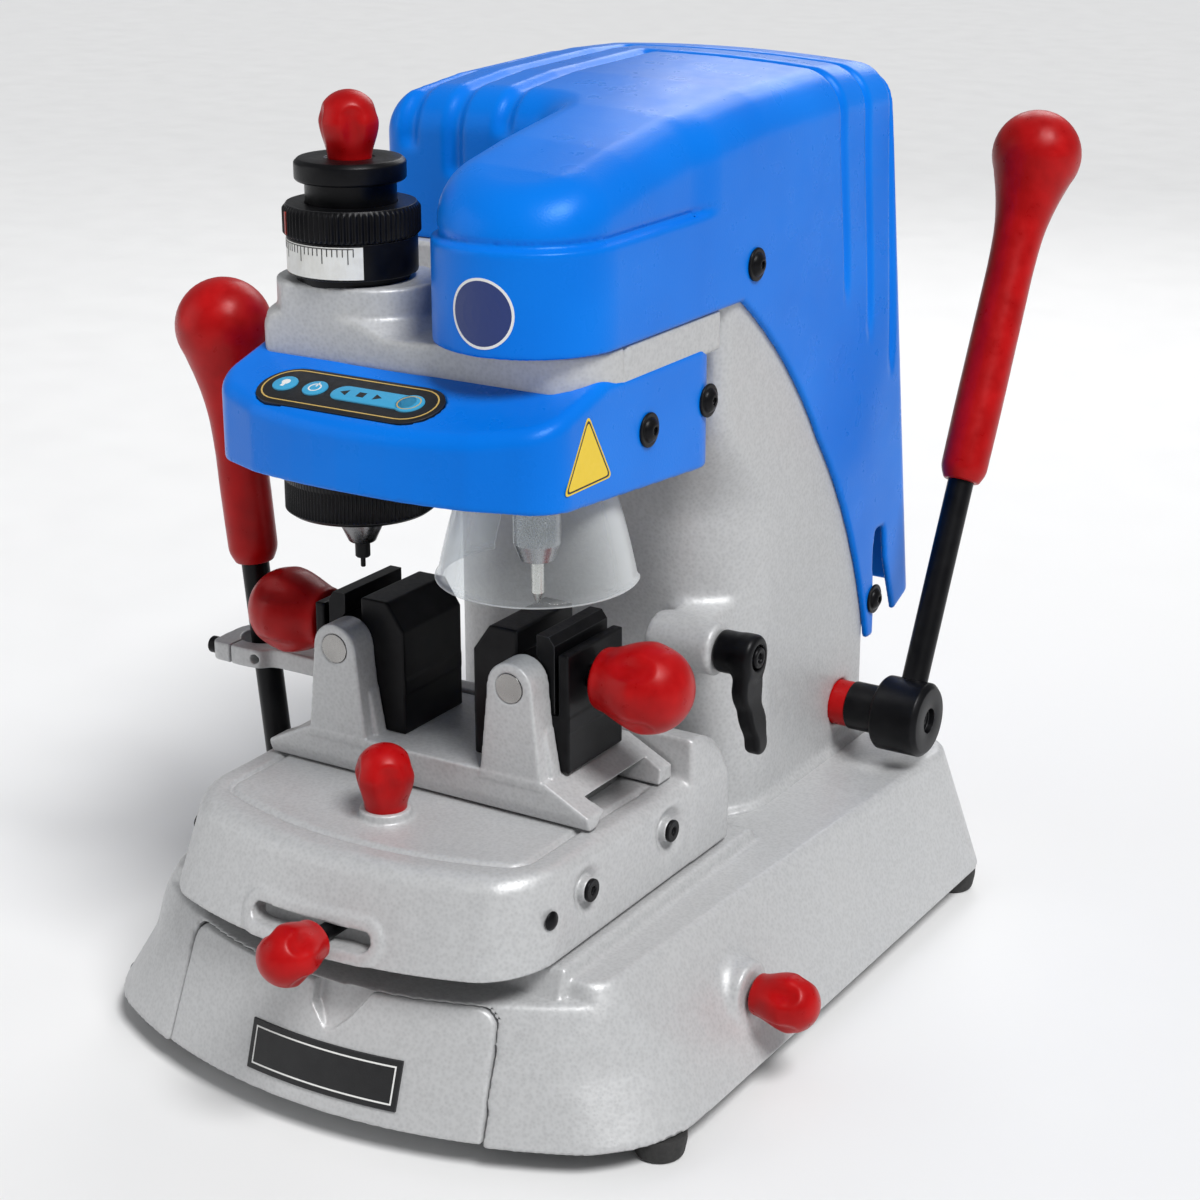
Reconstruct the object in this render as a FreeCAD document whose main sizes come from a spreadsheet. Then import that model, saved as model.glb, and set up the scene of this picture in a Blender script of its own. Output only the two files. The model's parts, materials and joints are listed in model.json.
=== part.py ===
"""Key duplicating machine: twin-vise copier with a tracer, a milling spindle and two red levers.

Row frame: X to the right as the user sees it, Y to the back, Z up, in millimetres.
The origin is on the bench, at the centre of the four feet.
"""
import FreeCAD, Part
import math
import os
import re
import Sketcher
from FreeCAD import Placement, Rotation, Vector

DOC = FreeCAD.newDocument("key_duplicating_machine")
SHEET = DOC.addObject("Spreadsheet::Sheet", "Sizes")
SUBPARTS = []

SIZES = {
    # base casting: a sloping-sided foot with a bowed front
    "base_half": 162, "base_top_half": 126, "base_back_half": 142, "base_bottom": 12, "base_top": 78,
    "base_front": -232, "base_shoulder": -181, "base_back": 183,
    "base_lip": -212, "base_lip_shoulder": -165, "base_top_back": 176,
    "base_corner": 28, "base_edge": 8, "base_wall": 9,
    "foot_x": 148, "foot_y": 160, "foot_radius": 12, "bolt_radius": 3.3, "boss_radius": 13, "boss_top": 26,
    "ledge_half": 104, "ledge_top": 86, "ledge_front": -182, "ledge_back": 3,
    # drawer in the front of the base
    "drawer_top_half": 85, "drawer_bottom_half": 90, "drawer_floor": 14, "drawer_top": 70,
    "drawer_gap": 0.8, "drawer_skin": 8, "tray_half": 80, "tray_back": -30, "tray_top": 62, "tray_wall": 2.5,
    "plate_left": -33, "plate_right": 50, "plate_bottom": 22, "plate_top": 45, "plate_skin": 1.2,
    # column casting
    "column_half": 89.5, "column_front": 4, "column_back": 160, "column_wall": 9, "column_corner": 46,
    "column_top": 352, "cheek_front": -8, "cheek_bottom": 268, "cheek_corner": 10,
    "lock_y": -12, "lock_z": 183, "lug_radius": 13, "lug_left": 58, "lug_right": 94,
    # Y guides and carriage
    "rail_x": 60, "rail_half": 6, "rail_top": 97, "rail_front": -170, "rail_back": 0,
    "block_half": 13, "block_front": -128, "block_rear": -70, "block_long": 30, "running_gap": 0.05,
    "skirt_half": 102, "skirt_bottom": 88, "skirt_top": 130, "skirt_front": -224, "skirt_shoulder": -200,
    "skirt_top_half": 99, "skirt_lip": -205, "skirt_lip_shoulder": -182, "skirt_back": -16,
    "skirt_corner": 22, "skirt_edge": 7, "skirt_wall": 9, "skirt_roof": 119,
    "hump_front": -52, "hump_top": 151, "hump_radius": 34,
    "slot_half": 33, "slot_z": 98, "slot_height": 9, "collar_y": -159, "collar_radius": 10.5, "collar_top": 133,
    # X dovetail and vise slide
    "tail_y": -90, "tail_root": 20, "tail_tip": 27, "tail_top": 142, "tail_half": 70,
    "slide_half": 91.5, "slide_land": 67.7, "slide_front": -130, "slide_back": -54,
    "slide_bottom": 131, "slide_skirt": 139, "slide_top": 150,
    "vise_x": 49.5, "post_half": 17, "post_tip": 12, "post_back": -115, "pin_z": 193, "pin_radius": 7,
    "block_inner": 20, "block_outer": 72, "block_y_back": -67, "block_shelf": 178, "jaw_top": 215,
    "gap_inner": 44.5, "gap_outer": 54.5, "jaw_back": 64, "ear_inner": 66, "ear_top": 208,
    "clamp_y": -95, "clamp_z": 192.5, "screw_radius": 5, "knob_start": 78, "knob_ball": 21, "knob_neck": 14,
    "knob_end": 124,
    # lever ring on the vise slide
    "ring_x": -133.4, "ring_y": -79, "ring_z": 163, "ring_bore": 12, "ring_outer": 19.5, "ring_half": 5,
    # joystick lever and its universal joint
    "joint_x": -123, "joint_y": -79, "joint_z": 66, "lean": 5.94, "rod_radius": 7,
    "cup_radius": 19, "cup_bore": 16, "cup_bottom": 48, "cup_top": 78.5,
    "gimbal_outer": 13, "gimbal_inner": 10, "gimbal_half": 5, "trunnion": 2.5,
    "grip_start": 142, "grip_radius": 12.5, "left_ball_at": 262, "ball_radius": 24,
    # head casting and covers
    "head_half": 92, "band_bottom": 334, "band_top": 350, "band_front": -129, "band_back": -11,
    "deck_top": 366, "deck_radius": 38, "bridge_bottom": 374, "bridge_top": 386, "bridge_half": 80,
    "bridge_back": 122, "web_front": -44, "web_left_front": -23,
    "cover_front": -179, "cover_shoulder": -172, "cover_corner_y": -158, "cover_corner_x": 60,
    "cover_brow": 319, "cover_chin": 290, "cover_heel": 276, "cover_back": -8.5, "cover_wall": 3,
    "hood_half": 92.5, "hood_wall": 2.5, "nose_x": 48, "nose_y": -105, "nose_radius": 44,
    "hood_front": -149, "hood_step_y": -26, "hood_step_z": 370, "hood_back": 173, "hood_edge": 7,
    "hood_heel": 135, "hood_tail": 215, "hood_tail_z": 152, "hood_hem": 190, "hood_hem_z": 142, "hood_heel_back": 166,
    # spindle, motor and belt
    "axis_y": -105, "motor_x": 45, "motor_y": 75, "motor_radius": 31, "motor_bottom": 268,
    "pulley_bottom": 390, "pulley_top": 403, "spindle_pulley": 20, "motor_pulley": 13, "belt_skin": 2,
    "housing_radius": 24, "housing_bottom": 300, "housing_top": 374, "bearing_radius": 16,
    "bearing_long": 12, "shaft_radius": 8, "collet_radius": 11, "collet_bottom": 248, "cutter_radius": 3,
    "cutter_tip": 227,
    # tracer
    "quill_radius": 10, "cone_top": 252, "cone_bottom": 240, "cone_tip": 6.5,
    "shank_bottom": 232, "shank_radius": 3.6, "stylus_radius": 1.2, "stylus_tip": 227,
    "dial_radius": 36, "dial_bottom": 256, "dial_top": 290, "sleeve_radius": 15,
    "label_radius": 30.2, "label_bottom": 366, "label_top": 387, "knurl_radius": 31.5, "knurl_top": 401.5,
    "neck_radius": 21, "neck_top": 411.5, "cap_radius": 25.5, "cap_top": 421.5,
    "small_ball": 13.75, "small_neck": 10, "small_long": 32,
    # shield
    "shield_top": 280, "shield_bottom": 240, "shield_top_radius": 33, "shield_rim": 46, "shield_skin": 2,
    # head guides and rack
    "guide_y": 60, "guide_left": -60, "guide_right": -18, "guide_radius": 9, "guide_bottom": 190,
    "bush_bottom": 225, "bush_top": 300, "bush_right": -2, "bush_front": 44, "bush_back": 76,
    "module": 1.25, "pinion_teeth": 28, "tooth_height": 1.0, "tooth_root": 1.5,
    "rack_bottom": 97, "rack_top": 374, "rack_half": 6, "rack_depth": 9,
    # right lever
    "lever_y": 130.6, "lever_z": 107, "lever_shaft": 8, "lever_lean": 26.5, "bush_radius": 12.25,
    "bush_out": 98, "hub_neck": 13, "hub_radius": 20, "hub_in": 116, "hub_out": 143, "rod_x": 129.6,
    "right_grip_start": 129.5, "right_ball_at": 312,
    # small controls
    "side_y": -79, "side_z": 44, "side_root": 153, "stem_radius": 4,
    "panel_half": 48.5, "panel_wide": 15.5, "panel_skin": 1.2, "panel_x": -15.5, "panel_y": -155,
    "panel_sink": 1.8, "key_radius": 6, "key_travel": 1.0, "light_at": -35.4, "start_at": -18.7,
    "selector_at": 14.5, "selector_half": 23.5, "selector_wide": 5.8, "selector_end": 32.6,
    "selector_end_radius": 7,
    "inlet_left": -84, "inlet_right": -26, "inlet_bottom": 30, "inlet_top": 60, "inlet_out": 182,
    "inlet_in": 168, "rocker_x": -38, "rocker_y": 175, "rocker_z": 45, "rocker_radius": 8.4,
}


def fill_sheet():
    """Write every driving dimension to the sheet with its alias."""
    for row, (alias, value) in enumerate(SIZES.items(), start=1):
        SHEET.set("A%d" % row, alias)
        SHEET.set("B%d" % row, str(value))
        SHEET.setAlias("B%d" % row, alias)
    DOC.recompute()


def size(alias):
    """Read one driving dimension back from the sheet."""
    return float(getattr(SHEET, alias))


def link(expression):
    """Point every alias in an expression at the sheet."""
    def qualify(word):
        return "Sizes." + word.group() if word.group() in SIZES else word.group()
    return re.sub(r"[a-z][a-z_]*", qualify, str(expression))


def bind(target, **expressions):
    for name, expression in expressions.items():
        target.setExpression(name, link(expression))


def move_to(target, x=0, y=0, z=0):
    for axis, expression in zip("xyz", (x, y, z)):
        target.setExpression(".Placement.Base." + axis, link(expression))
    return target


def subpart(target, label):
    """Name a finished piece; the label is also its file name."""
    target.Label = label
    SUBPARTS.append(target)
    return target


# ---- building blocks --------------------------------------------------------------------------

TURN_TO = {
    "+Z": Rotation(),
    "+X": Rotation(Vector(0, 1, 0), 90),
    "-X": Rotation(Vector(0, 1, 0), -90),
    "+Y": Rotation(Vector(1, 0, 0), -90),
    "-Y": Rotation(Vector(1, 0, 0), 90),
}


def box(name, x, y, z):
    """Block between a low and a high expression along each axis."""
    block = DOC.addObject("Part::Box", name)
    bind(block, Length="(%s) - (%s)" % (x[1], x[0]), Width="(%s) - (%s)" % (y[1], y[0]),
         Height="(%s) - (%s)" % (z[1], z[0]))
    return move_to(block, x[0], y[0], z[0])


def rod(name, radius, along, span, centre):
    """Cylinder along X, Y or Z over a span, at the other two coordinates given in order."""
    cylinder = DOC.addObject("Part::Cylinder", name)
    bind(cylinder, Radius=radius, Height="(%s) - (%s)" % (span[1], span[0]))
    cylinder.Placement = Placement(Vector(), TURN_TO["+" + along])
    spot = list(centre)
    spot.insert("XYZ".index(along), span[0])
    return move_to(cylinder, *spot)


def cone(name, low_radius, high_radius, span, centre):
    """Upright cone over a span of Z."""
    shape = DOC.addObject("Part::Cone", name)
    bind(shape, Radius1=low_radius, Radius2=high_radius, Height="(%s) - (%s)" % (span[1], span[0]))
    return move_to(shape, centre[0], centre[1], span[0])


def cut(name, base, tool):
    result = DOC.addObject("Part::Cut", name)
    result.Base = base
    result.Tool = tool
    return result


def fuse(name, *shapes):
    result = DOC.addObject("Part::MultiFuse", name)
    result.Shapes = list(shapes)
    return result


def group(name, *shapes):
    """Several separate solids that share one node."""
    result = DOC.addObject("Part::Compound", name)
    result.Links = list(shapes)
    return result


def posed(name, shape, placement):
    """The same shape, turned and moved as a whole."""
    holder = group(name, shape)
    holder.Placement = placement
    return holder


def mirror(name, source, normal=Vector(1, 0, 0)):
    twin = DOC.addObject("Part::Mirroring", name)
    twin.Source = source
    twin.Normal = normal
    return twin


def origin_plane(body, role):
    return [plane for plane in body.Origin.OriginFeatures if plane.Role == role][0]


def outline(body, name, role, corners, offset=0):
    """Closed sketch on an origin plane, each corner held by two bound distances."""
    sketch = body.newObject("Sketcher::SketchObject", name)
    sketch.AttachmentSupport = [(origin_plane(body, role), "")]
    sketch.MapMode = "FlatFace"
    sketch.setExpression(".AttachmentOffset.Base.z", link(offset))
    count = len(corners)
    seeds = []
    for number in range(count):
        angle = 2 * math.pi * number / count
        seeds.append(Vector(10 * math.cos(angle), 10 * math.sin(angle), 0))
    for number in range(count):
        sketch.addGeometry(Part.LineSegment(seeds[number], seeds[(number + 1) % count]), False)
    for number in range(count):
        sketch.addConstraint(Sketcher.Constraint("Coincident", number, 2, (number + 1) % count, 1))
    for number, corner in enumerate(corners):
        for kind, seed, expression in zip(("DistanceX", "DistanceY"), seeds[number], corner):
            index = sketch.addConstraint(Sketcher.Constraint(kind, -1, 1, number, 1, seed))
            sketch.setExpression("Constraints[%d]" % index, link(expression))
    return sketch


def extruded(name, role, corners, start, length):
    """Body with one pad; its sketch lies at start, along the plane's own normal."""
    body = DOC.addObject("PartDesign::Body", name)
    pad = body.newObject("PartDesign::Pad", name + "_pad")
    pad.Profile = outline(body, name + "_outline", role, corners, start)
    bind(pad, Length=length)
    return body


def turned(name, corners, heading="+Z", at=(0, 0, 0)):
    """Body of revolution: corners are (radius, height) pairs round the heading."""
    body = DOC.addObject("PartDesign::Body", name)
    sketch = outline(body, name + "_outline", "XZ_Plane", corners)
    turn = body.newObject("PartDesign::Revolution", name + "_turn")
    turn.Profile = sketch
    turn.ReferenceAxis = (sketch, ["V_Axis"])
    turn.Angle = 360
    body.Placement = Placement(Vector(), TURN_TO[heading])
    return move_to(body, *at)


def tube(name, outer, inner, span, at=("0", "0")):
    """Upright sleeve."""
    corners = [(inner, span[0]), (outer, span[0]), (outer, span[1]), (inner, span[1])]
    return turned(name, corners, at=(at[0], at[1], 0))


def pear(name, ball, neck, length, stem_radius, stem_length):
    """Knob along its own Z: stem, tapered neck and a ball; the neck starts at zero."""
    ball_part = DOC.addObject("Part::Sphere", name + "_ball")
    bind(ball_part, Radius=ball)
    move_to(ball_part, 0, 0, "(%s) - (%s)" % (length, ball))
    neck_part = cone(name + "_neck", neck, "(%s) * 0.9" % ball,
                     ("0", "(%s) - (%s) * 1.25" % (length, ball)), ("0", "0"))
    waist = cone(name + "_waist", "(%s) * 0.9" % ball, "(%s) * 0.97" % ball,
                 ("(%s) - (%s) * 1.25" % (length, ball), "(%s) - (%s)" % (length, ball)), ("0", "0"))
    stem = rod(name + "_stem", stem_radius, "Z", ("-(%s)" % stem_length, "1"), ("0", "0"))
    return fuse(name, ball_part, neck_part, waist, stem)


def face_of(points, arcs=()):
    """Planar face from corner points; arcs maps a side's number to the point it passes through."""
    through = dict(arcs)
    edges = []
    for number, start in enumerate(points):
        end = points[(number + 1) % len(points)]
        if number in through:
            edges.append(Part.Arc(start, through[number], end).toShape())
        else:
            edges.append(Part.LineSegment(start, end).toShape())
    return Part.Face(Part.Wire(edges))


def bowed_ring(z, half, front, shoulder, back, back_half):
    """Wire of a plan outline whose front bows forward."""
    corners = [Vector(-half, shoulder, z), Vector(half, shoulder, z),
               Vector(back_half, back, z), Vector(-back_half, back, z)]
    return face_of(corners, {0: Vector(0, front, z)}).OuterWire


def block(x, y, z):
    """Plain Part block between two limits along each axis."""
    return Part.makeBox(x[1] - x[0], y[1] - y[0], z[1] - z[0], Vector(x[0], y[0], z[0]))


def rounded(solid, radius, chosen):
    """Fillet the edges that chosen accepts."""
    return solid.makeFillet(radius, [edge for edge in solid.Edges if chosen(edge)])


def slopes_up(edge):
    """True for an edge that climbs from one level to another."""
    return edge.BoundBox.ZLength > 5


def feature(name, shape):
    """Part::Feature that holds one shape made above."""
    holder = DOC.addObject("Part::Feature", name)
    holder.Shape = shape.removeSplitter()
    return holder


# ---- base -------------------------------------------------------------------------------------

def base_envelope():
    """Outside of the base with no openings."""
    bottom = bowed_ring(size("base_bottom"), size("base_half"), size("base_front"),
                        size("base_shoulder"), size("base_back"), size("base_half"))
    top = bowed_ring(size("base_top"), size("base_top_half"), size("base_lip"),
                     size("base_lip_shoulder"), size("base_top_back"), size("base_back_half"))
    body = Part.makeLoft([bottom, top], True, True)
    body = rounded(body, size("base_corner"), slopes_up)
    high = size("base_top") - 0.01
    return rounded(body, size("base_edge"), lambda edge: edge.BoundBox.ZMin > high)


def drawer_prism(gap):
    """Drawer front opening, a little wider at its foot, through the bowed wall."""
    low = size("drawer_floor") - gap
    high = size("drawer_top") + gap
    top_half = size("drawer_top_half") + gap
    low_half = size("drawer_bottom_half") + gap
    start = size("base_front") - 10
    corners = [Vector(-low_half, start, low), Vector(low_half, start, low),
               Vector(top_half, start, high), Vector(-top_half, start, high)]
    prism = face_of(corners).extrude(Vector(0, 100, 0))

    def upper_side(edge):
        return edge.BoundBox.YLength > 50 and edge.BoundBox.ZMin > high - 1
    return rounded(prism, 10, upper_side)


def base_cavity():
    """Room inside the base for the drawer, the lever socket and the wiring."""
    wall = size("base_wall")
    low_half = size("base_half") - wall - 3
    high_half = size("base_top_half") - wall
    levels = []
    for z, half, front, back in ((size("base_bottom") - 1, low_half, -168, size("base_back") - wall),
                                 (size("base_top") - wall, high_half, -152, size("base_top_back") - wall)):
        levels.append(Part.makePolygon([Vector(-half, front, z), Vector(half, front, z),
                                        Vector(half, back, z), Vector(-half, back, z),
                                        Vector(-half, front, z)]))
    return Part.makeLoft(levels, True, True)


def foot_spots():
    return [(side * size("foot_x"), end * size("foot_y")) for side in (-1, 1) for end in (-1, 1)]


def base_casting():
    envelope = base_envelope()
    casting = envelope.cut([base_cavity(), drawer_prism(size("drawer_gap"))])
    bosses = []
    for x, y in foot_spots():
        boss = Part.makeCylinder(size("boss_radius"), size("boss_top") - size("base_bottom"),
                                 Vector(x, y, size("base_bottom")))
        bosses.append(boss.common(envelope))
    ledge = block((-size("ledge_half"), size("ledge_half")), (size("ledge_front"), size("ledge_back")),
                  (size("base_top") - 1, size("ledge_top")))
    side_boss = Part.makeCylinder(15, 12, Vector(139, size("side_y"), size("side_z")), Vector(1, 0, 0))
    casting = casting.fuse(bosses + [ledge, side_boss])
    holes = [Part.makeCylinder(size("bolt_radius"), size("boss_top"), Vector(x, y, 0))
             for x, y in foot_spots()]
    holes.append(Part.makeCylinder(size("cup_radius"), 40,
                                   Vector(size("joint_x"), size("joint_y"), size("cup_bottom"))))
    holes.append(Part.makeCylinder(size("stem_radius") + size("running_gap"), 60,
                                   Vector(110, size("side_y"), size("side_z")), Vector(1, 0, 0)))
    holes.append(block((size("inlet_left"), size("inlet_right")), (150, 200),
                       (size("inlet_bottom"), size("inlet_top"))))
    holes.append(block((-60, 60), (20, 140), (size("base_top") - 20, size("base_top") + 1)))
    return subpart(feature("base_shape", casting.cut(holes)), "base_casting")


def rubber_feet():
    foot = turned("foot", [("bolt_radius", "0"), ("foot_radius - 1", "0"), ("foot_radius", "1"),
                           ("foot_radius", "base_bottom"), ("bolt_radius", "base_bottom")],
                  at=("foot_x", "foot_y", 0))
    right = group("right_feet", foot, mirror("front_right_foot", foot, Vector(0, 1, 0)))
    return subpart(group("feet", right, mirror("left_feet", right)), "rubber_feet")


def column_casting():
    """Hollow column: rounded below, square cheeks above, with a lug for the height lock."""
    half, wall = "column_half", "column_wall"
    shaft = extruded("column_shaft", "XY_Plane",
                     [("-" + half, "column_front"), (half, "column_front"),
                      (half, "column_back"), ("-" + half, "column_back")],
                     "base_top", "column_top - base_top")
    DOC.recompute()
    soften(shaft, "column_corner", "column_front")
    cheeks = extruded("column_cheeks", "XY_Plane",
                      [("-" + half, "cheek_front"), (half, "cheek_front"),
                       (half, "column_front + 60"), ("-" + half, "column_front + 60")],
                      "cheek_bottom", "column_top - cheek_bottom")
    DOC.recompute()
    soften(cheeks, "cheek_corner", "cheek_front")
    lug = fuse("lock_lug",
               rod("lug_eye", "lug_radius", "X", ("lug_left", "lug_right"), ("lock_y", "lock_z")),
               box("lug_arm", ("lug_left", "column_half - 6"), ("lock_y", "column_front + 44"),
                   ("lock_z - lug_radius", "lock_z + lug_radius")))
    solid = fuse("column_solid", shaft, cheeks, lug)
    hollow = box("column_hollow", ("-%s + %s" % (half, wall), "%s - %s" % (half, wall)),
                 ("column_front + %s + 22" % wall, "column_back - " + wall),
                 ("base_top - 1", "column_top + 1"))
    front_hollow = box("column_front_hollow", ("-50", "50"), ("column_front + " + wall, "60"),
                       ("base_top - 1", "column_top + 1"))
    bush_hole = rod("bush_hole", "bush_radius", "X", ("-" + half + " - 1", half + " + 1"),
                    ("lever_y", "lever_z"))
    stud_hole = rod("stud_hole", "stem_radius + running_gap", "X", ("lug_left + 8", "lug_right + 1"),
                    ("lock_y", "lock_z"))
    casting = cut("column", solid, fuse("column_holes", hollow, front_hollow, bush_hole, stud_hole))
    return subpart(casting, "column_casting")


def soften(body, radius, front):
    """Fillet the upright front corners of a padded body."""
    y = size(front)
    names = []
    for number, edge in enumerate(body.Shape.Edges, start=1):
        box_of = edge.BoundBox
        if box_of.ZLength > 20 and abs(box_of.YMax - y) < 0.01:
            names.append("Edge%d" % number)
    pad = body.Tip
    fillet = body.newObject("PartDesign::Fillet", body.Name + "_fillet")
    fillet.Base = (pad, names)
    bind(fillet, Radius=radius)


def y_guide_rails():
    right = box("right_rail", ("rail_x - rail_half", "rail_x + rail_half"), ("rail_front", "rail_back"),
                ("ledge_top", "rail_top"))
    return subpart(group("rails", right, mirror("left_rail", right)), "y_guide_rails")


def column_guide_block():
    """Block in the column that holds the head's two guide rods."""
    blank = box("guide_blank", ("-column_half + column_wall", "bush_right"),
                ("bush_front", "bush_back"), ("bush_bottom", "bush_top"))
    bores = fuse("guide_bores",
                 rod("left_bore", "guide_radius + running_gap", "Z", ("bush_bottom - 1", "bush_top + 1"),
                     ("guide_left", "guide_y")),
                 rod("right_bore", "guide_radius + running_gap", "Z", ("bush_bottom - 1", "bush_top + 1"),
                     ("guide_right", "guide_y")))
    return subpart(cut("guide_block", blank, bores), "column_guide_block")


def lever_bushes():
    bore = "lever_shaft + running_gap"
    right = turned("right_bush", [(bore, "column_half - 16"), ("bush_radius", "column_half - 16"),
                                  ("bush_radius", "bush_out"), (bore, "bush_out")],
                   "+X", (0, "lever_y", "lever_z"))
    left = turned("left_bush", [(bore, "column_half - 16"), ("bush_radius", "column_half - 16"),
                                ("bush_radius", "column_half"), (bore, "column_half")],
                  "-X", (0, "lever_y", "lever_z"))
    return subpart(group("bushes", right, left), "lever_bushes")


def lever_socket():
    """Cup under the base top that carries the joystick's universal joint."""
    cup = turned("cup", [("0", "cup_bottom"), ("cup_radius", "cup_bottom"), ("cup_radius", "cup_top"),
                         ("cup_bore", "cup_top"), ("cup_bore", "cup_bottom + 2.5"),
                         ("0", "cup_bottom + 2.5")], at=("joint_x", "joint_y", 0))
    bore = rod("trunnion_bore", "trunnion + running_gap", "Y",
               ("joint_y - cup_radius - 1", "joint_y + cup_radius + 1"), ("joint_x", "joint_z"))
    return subpart(cut("socket", cup, bore), "lever_socket")


def power_inlet():
    """Mains socket with an opening beside it for the rocker switch."""
    blank = box("inlet_blank", ("inlet_left", "inlet_right"), ("inlet_in", "inlet_out"),
                ("inlet_bottom", "inlet_top"))
    well = box("inlet_well", ("inlet_left + 4", "inlet_left + 32"), ("inlet_in + 4", "inlet_out + 1"),
               ("rocker_z - 10", "rocker_z + 10"))
    pins = [box("inlet_pin_%d" % number,
                ("inlet_left + %g" % (10 + 6.5 * number), "inlet_left + %g" % (12 + 6.5 * number)),
                ("inlet_in + 3", "inlet_out - 3"), ("rocker_z - 3", "rocker_z + 3"))
            for number in range(3)]
    slot = fuse("rocker_slot", rod("rocker_bore", "rocker_radius + running_gap", "X",
                                   ("rocker_x - 8", "rocker_x + 8"), ("rocker_y", "rocker_z")),
                box("rocker_mouth", ("rocker_x - 8", "rocker_x + 8"), ("rocker_y", "inlet_out + 1"),
                    ("rocker_z - rocker_radius - 0.1", "rocker_z + rocker_radius + 0.1")))
    socket = cut("inlet_shell", blank, fuse("inlet_openings", well, slot))
    return subpart(fuse("inlet", socket, *pins), "power_inlet")


def power_switch():
    drum = rod("rocker_drum", "rocker_radius", "X", ("rocker_x - 7.9", "rocker_x + 7.9"),
               ("rocker_y", "rocker_z"))
    dish = rod("rocker_dish", "30", "X", ("rocker_x - 9", "rocker_x + 9"),
               ("rocker_y + 36.5", "rocker_z"))
    return subpart(cut("rocker", drum, dish), "power_switch")


def side_lock_knob():
    knob = pear("side_knob", "small_ball", "small_neck", "small_long", "stem_radius", "25")
    knob.Placement = Placement(Vector(), TURN_TO["+X"])
    move_to(knob, "side_root", "side_y", "side_z")
    return subpart(knob, "side_lock_knob")


# ---- drawer -----------------------------------------------------------------------------------

def drawer_front():
    """Bowed front plate cut from the base's own envelope, with a finger scoop."""
    envelope = base_envelope()
    back = envelope.copy()
    back.translate(Vector(0, size("drawer_skin"), 0))
    plate = envelope.common(drawer_prism(0)).cut(back)
    scoop = Part.makeSphere(20, Vector(1.5, size("base_front") - 6, 62))
    return subpart(feature("drawer_plate", plate.cut(scoop)), "drawer_front")


def drawer_tray():
    """Open tray whose nose follows the inside of the front plate."""
    wall = size("tray_wall")
    half = size("tray_half")
    nose = base_envelope()
    nose.translate(Vector(0, size("drawer_skin"), 0))
    inner_nose = nose.copy()
    inner_nose.translate(Vector(0, wall, 0))
    outside = block((-half, half), (-240, size("tray_back")), (size("drawer_floor") + 1, size("tray_top")))
    inside = block((-half + wall, half - wall), (-240, size("tray_back") - wall),
                   (size("drawer_floor") + 1 + wall, size("tray_top") + 1))
    return subpart(feature("tray", outside.common(nose).cut(inside.common(inner_nose))), "drawer_tray")


def nameplate():
    """Thin plain plate that lies on the bowed drawer front."""
    skin = base_envelope()
    skin.translate(Vector(0, -size("plate_skin"), 0))
    patch = block((size("plate_left"), size("plate_right")), (-260, -200),
                  (size("plate_bottom"), size("plate_top")))
    return subpart(feature("plate", skin.common(patch).cut(base_envelope())), "nameplate")


# ---- carriage ---------------------------------------------------------------------------------

def carriage_skirt():
    """Cast carriage that hides the Y guides: bowed front, rounded rear hump, open underneath."""
    bottom = bowed_ring(size("skirt_bottom"), size("skirt_half"), size("skirt_front"),
                        size("skirt_shoulder"), size("skirt_back"), size("skirt_half"))
    top = bowed_ring(size("skirt_top"), size("skirt_top_half"), size("skirt_lip"),
                     size("skirt_lip_shoulder"), size("skirt_back"), size("skirt_half"))
    body = Part.makeLoft([bottom, top], True, True)
    front = size("skirt_lip_shoulder") + 5
    body = rounded(body, size("skirt_corner"),
                   lambda edge: slopes_up(edge) and edge.BoundBox.YMax < front)
    high = size("skirt_top") - 0.01
    body = rounded(body, size("skirt_edge"), lambda edge: edge.BoundBox.ZMin > high
                   and edge.BoundBox.YMin < size("skirt_back") - 1)
    radius = size("hump_radius")
    hump = block((-size("skirt_half"), size("skirt_half")), (size("hump_front"), size("skirt_back")),
                 (size("skirt_bottom"), size("hump_top")))
    hump = rounded(hump, radius, lambda edge: edge.BoundBox.ZMin > size("hump_top") - 1
                   and edge.BoundBox.YMin > size("skirt_back") - 1)
    collar = Part.makeCylinder(size("collar_radius"), size("collar_top") - size("skirt_roof"),
                               Vector(0, size("collar_y"), size("skirt_roof")))
    body = body.fuse([hump, collar])
    inner = size("skirt_half") - size("skirt_wall")
    cavity = block((-inner, inner), (-190, 0), (size("skirt_bottom") - 1, size("skirt_roof")))
    slot_low = size("slot_z") - size("slot_height") / 2
    slot_high = size("slot_z") + size("slot_height") / 2
    slot = block((-size("slot_half"), size("slot_half")), (-240, -180), (slot_low, slot_high))
    slot = rounded(slot, 4.4, lambda edge: edge.BoundBox.YLength > 20)
    stem = Part.makeCylinder(size("stem_radius") + size("running_gap"), 60,
                             Vector(0, size("collar_y"), size("skirt_roof") - 20))
    return subpart(feature("skirt", body.cut([cavity, slot, stem])), "carriage_skirt")


def y_bearing_blocks():
    """Four saddles under the carriage that run on the Y rails."""
    saddles = []
    for name, start in (("front", "block_front"), ("rear", "block_rear")):
        span = (start, start + " + block_long")
        blank = box(name + "_saddle", ("rail_x - block_half", "rail_x + block_half"), span,
                    ("ledge_top + 1", "skirt_roof"))
        groove = box(name + "_groove",
                     ("rail_x - rail_half - running_gap", "rail_x + rail_half + running_gap"),
                     (start + " - 1", start + " + block_long + 1"),
                     ("ledge_top", "rail_top + running_gap"))
        saddles.append(cut(name + "_block", blank, groove))
    right = group("right_blocks", *saddles)
    return subpart(group("blocks", right, mirror("left_blocks", right)), "y_bearing_blocks")


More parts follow.
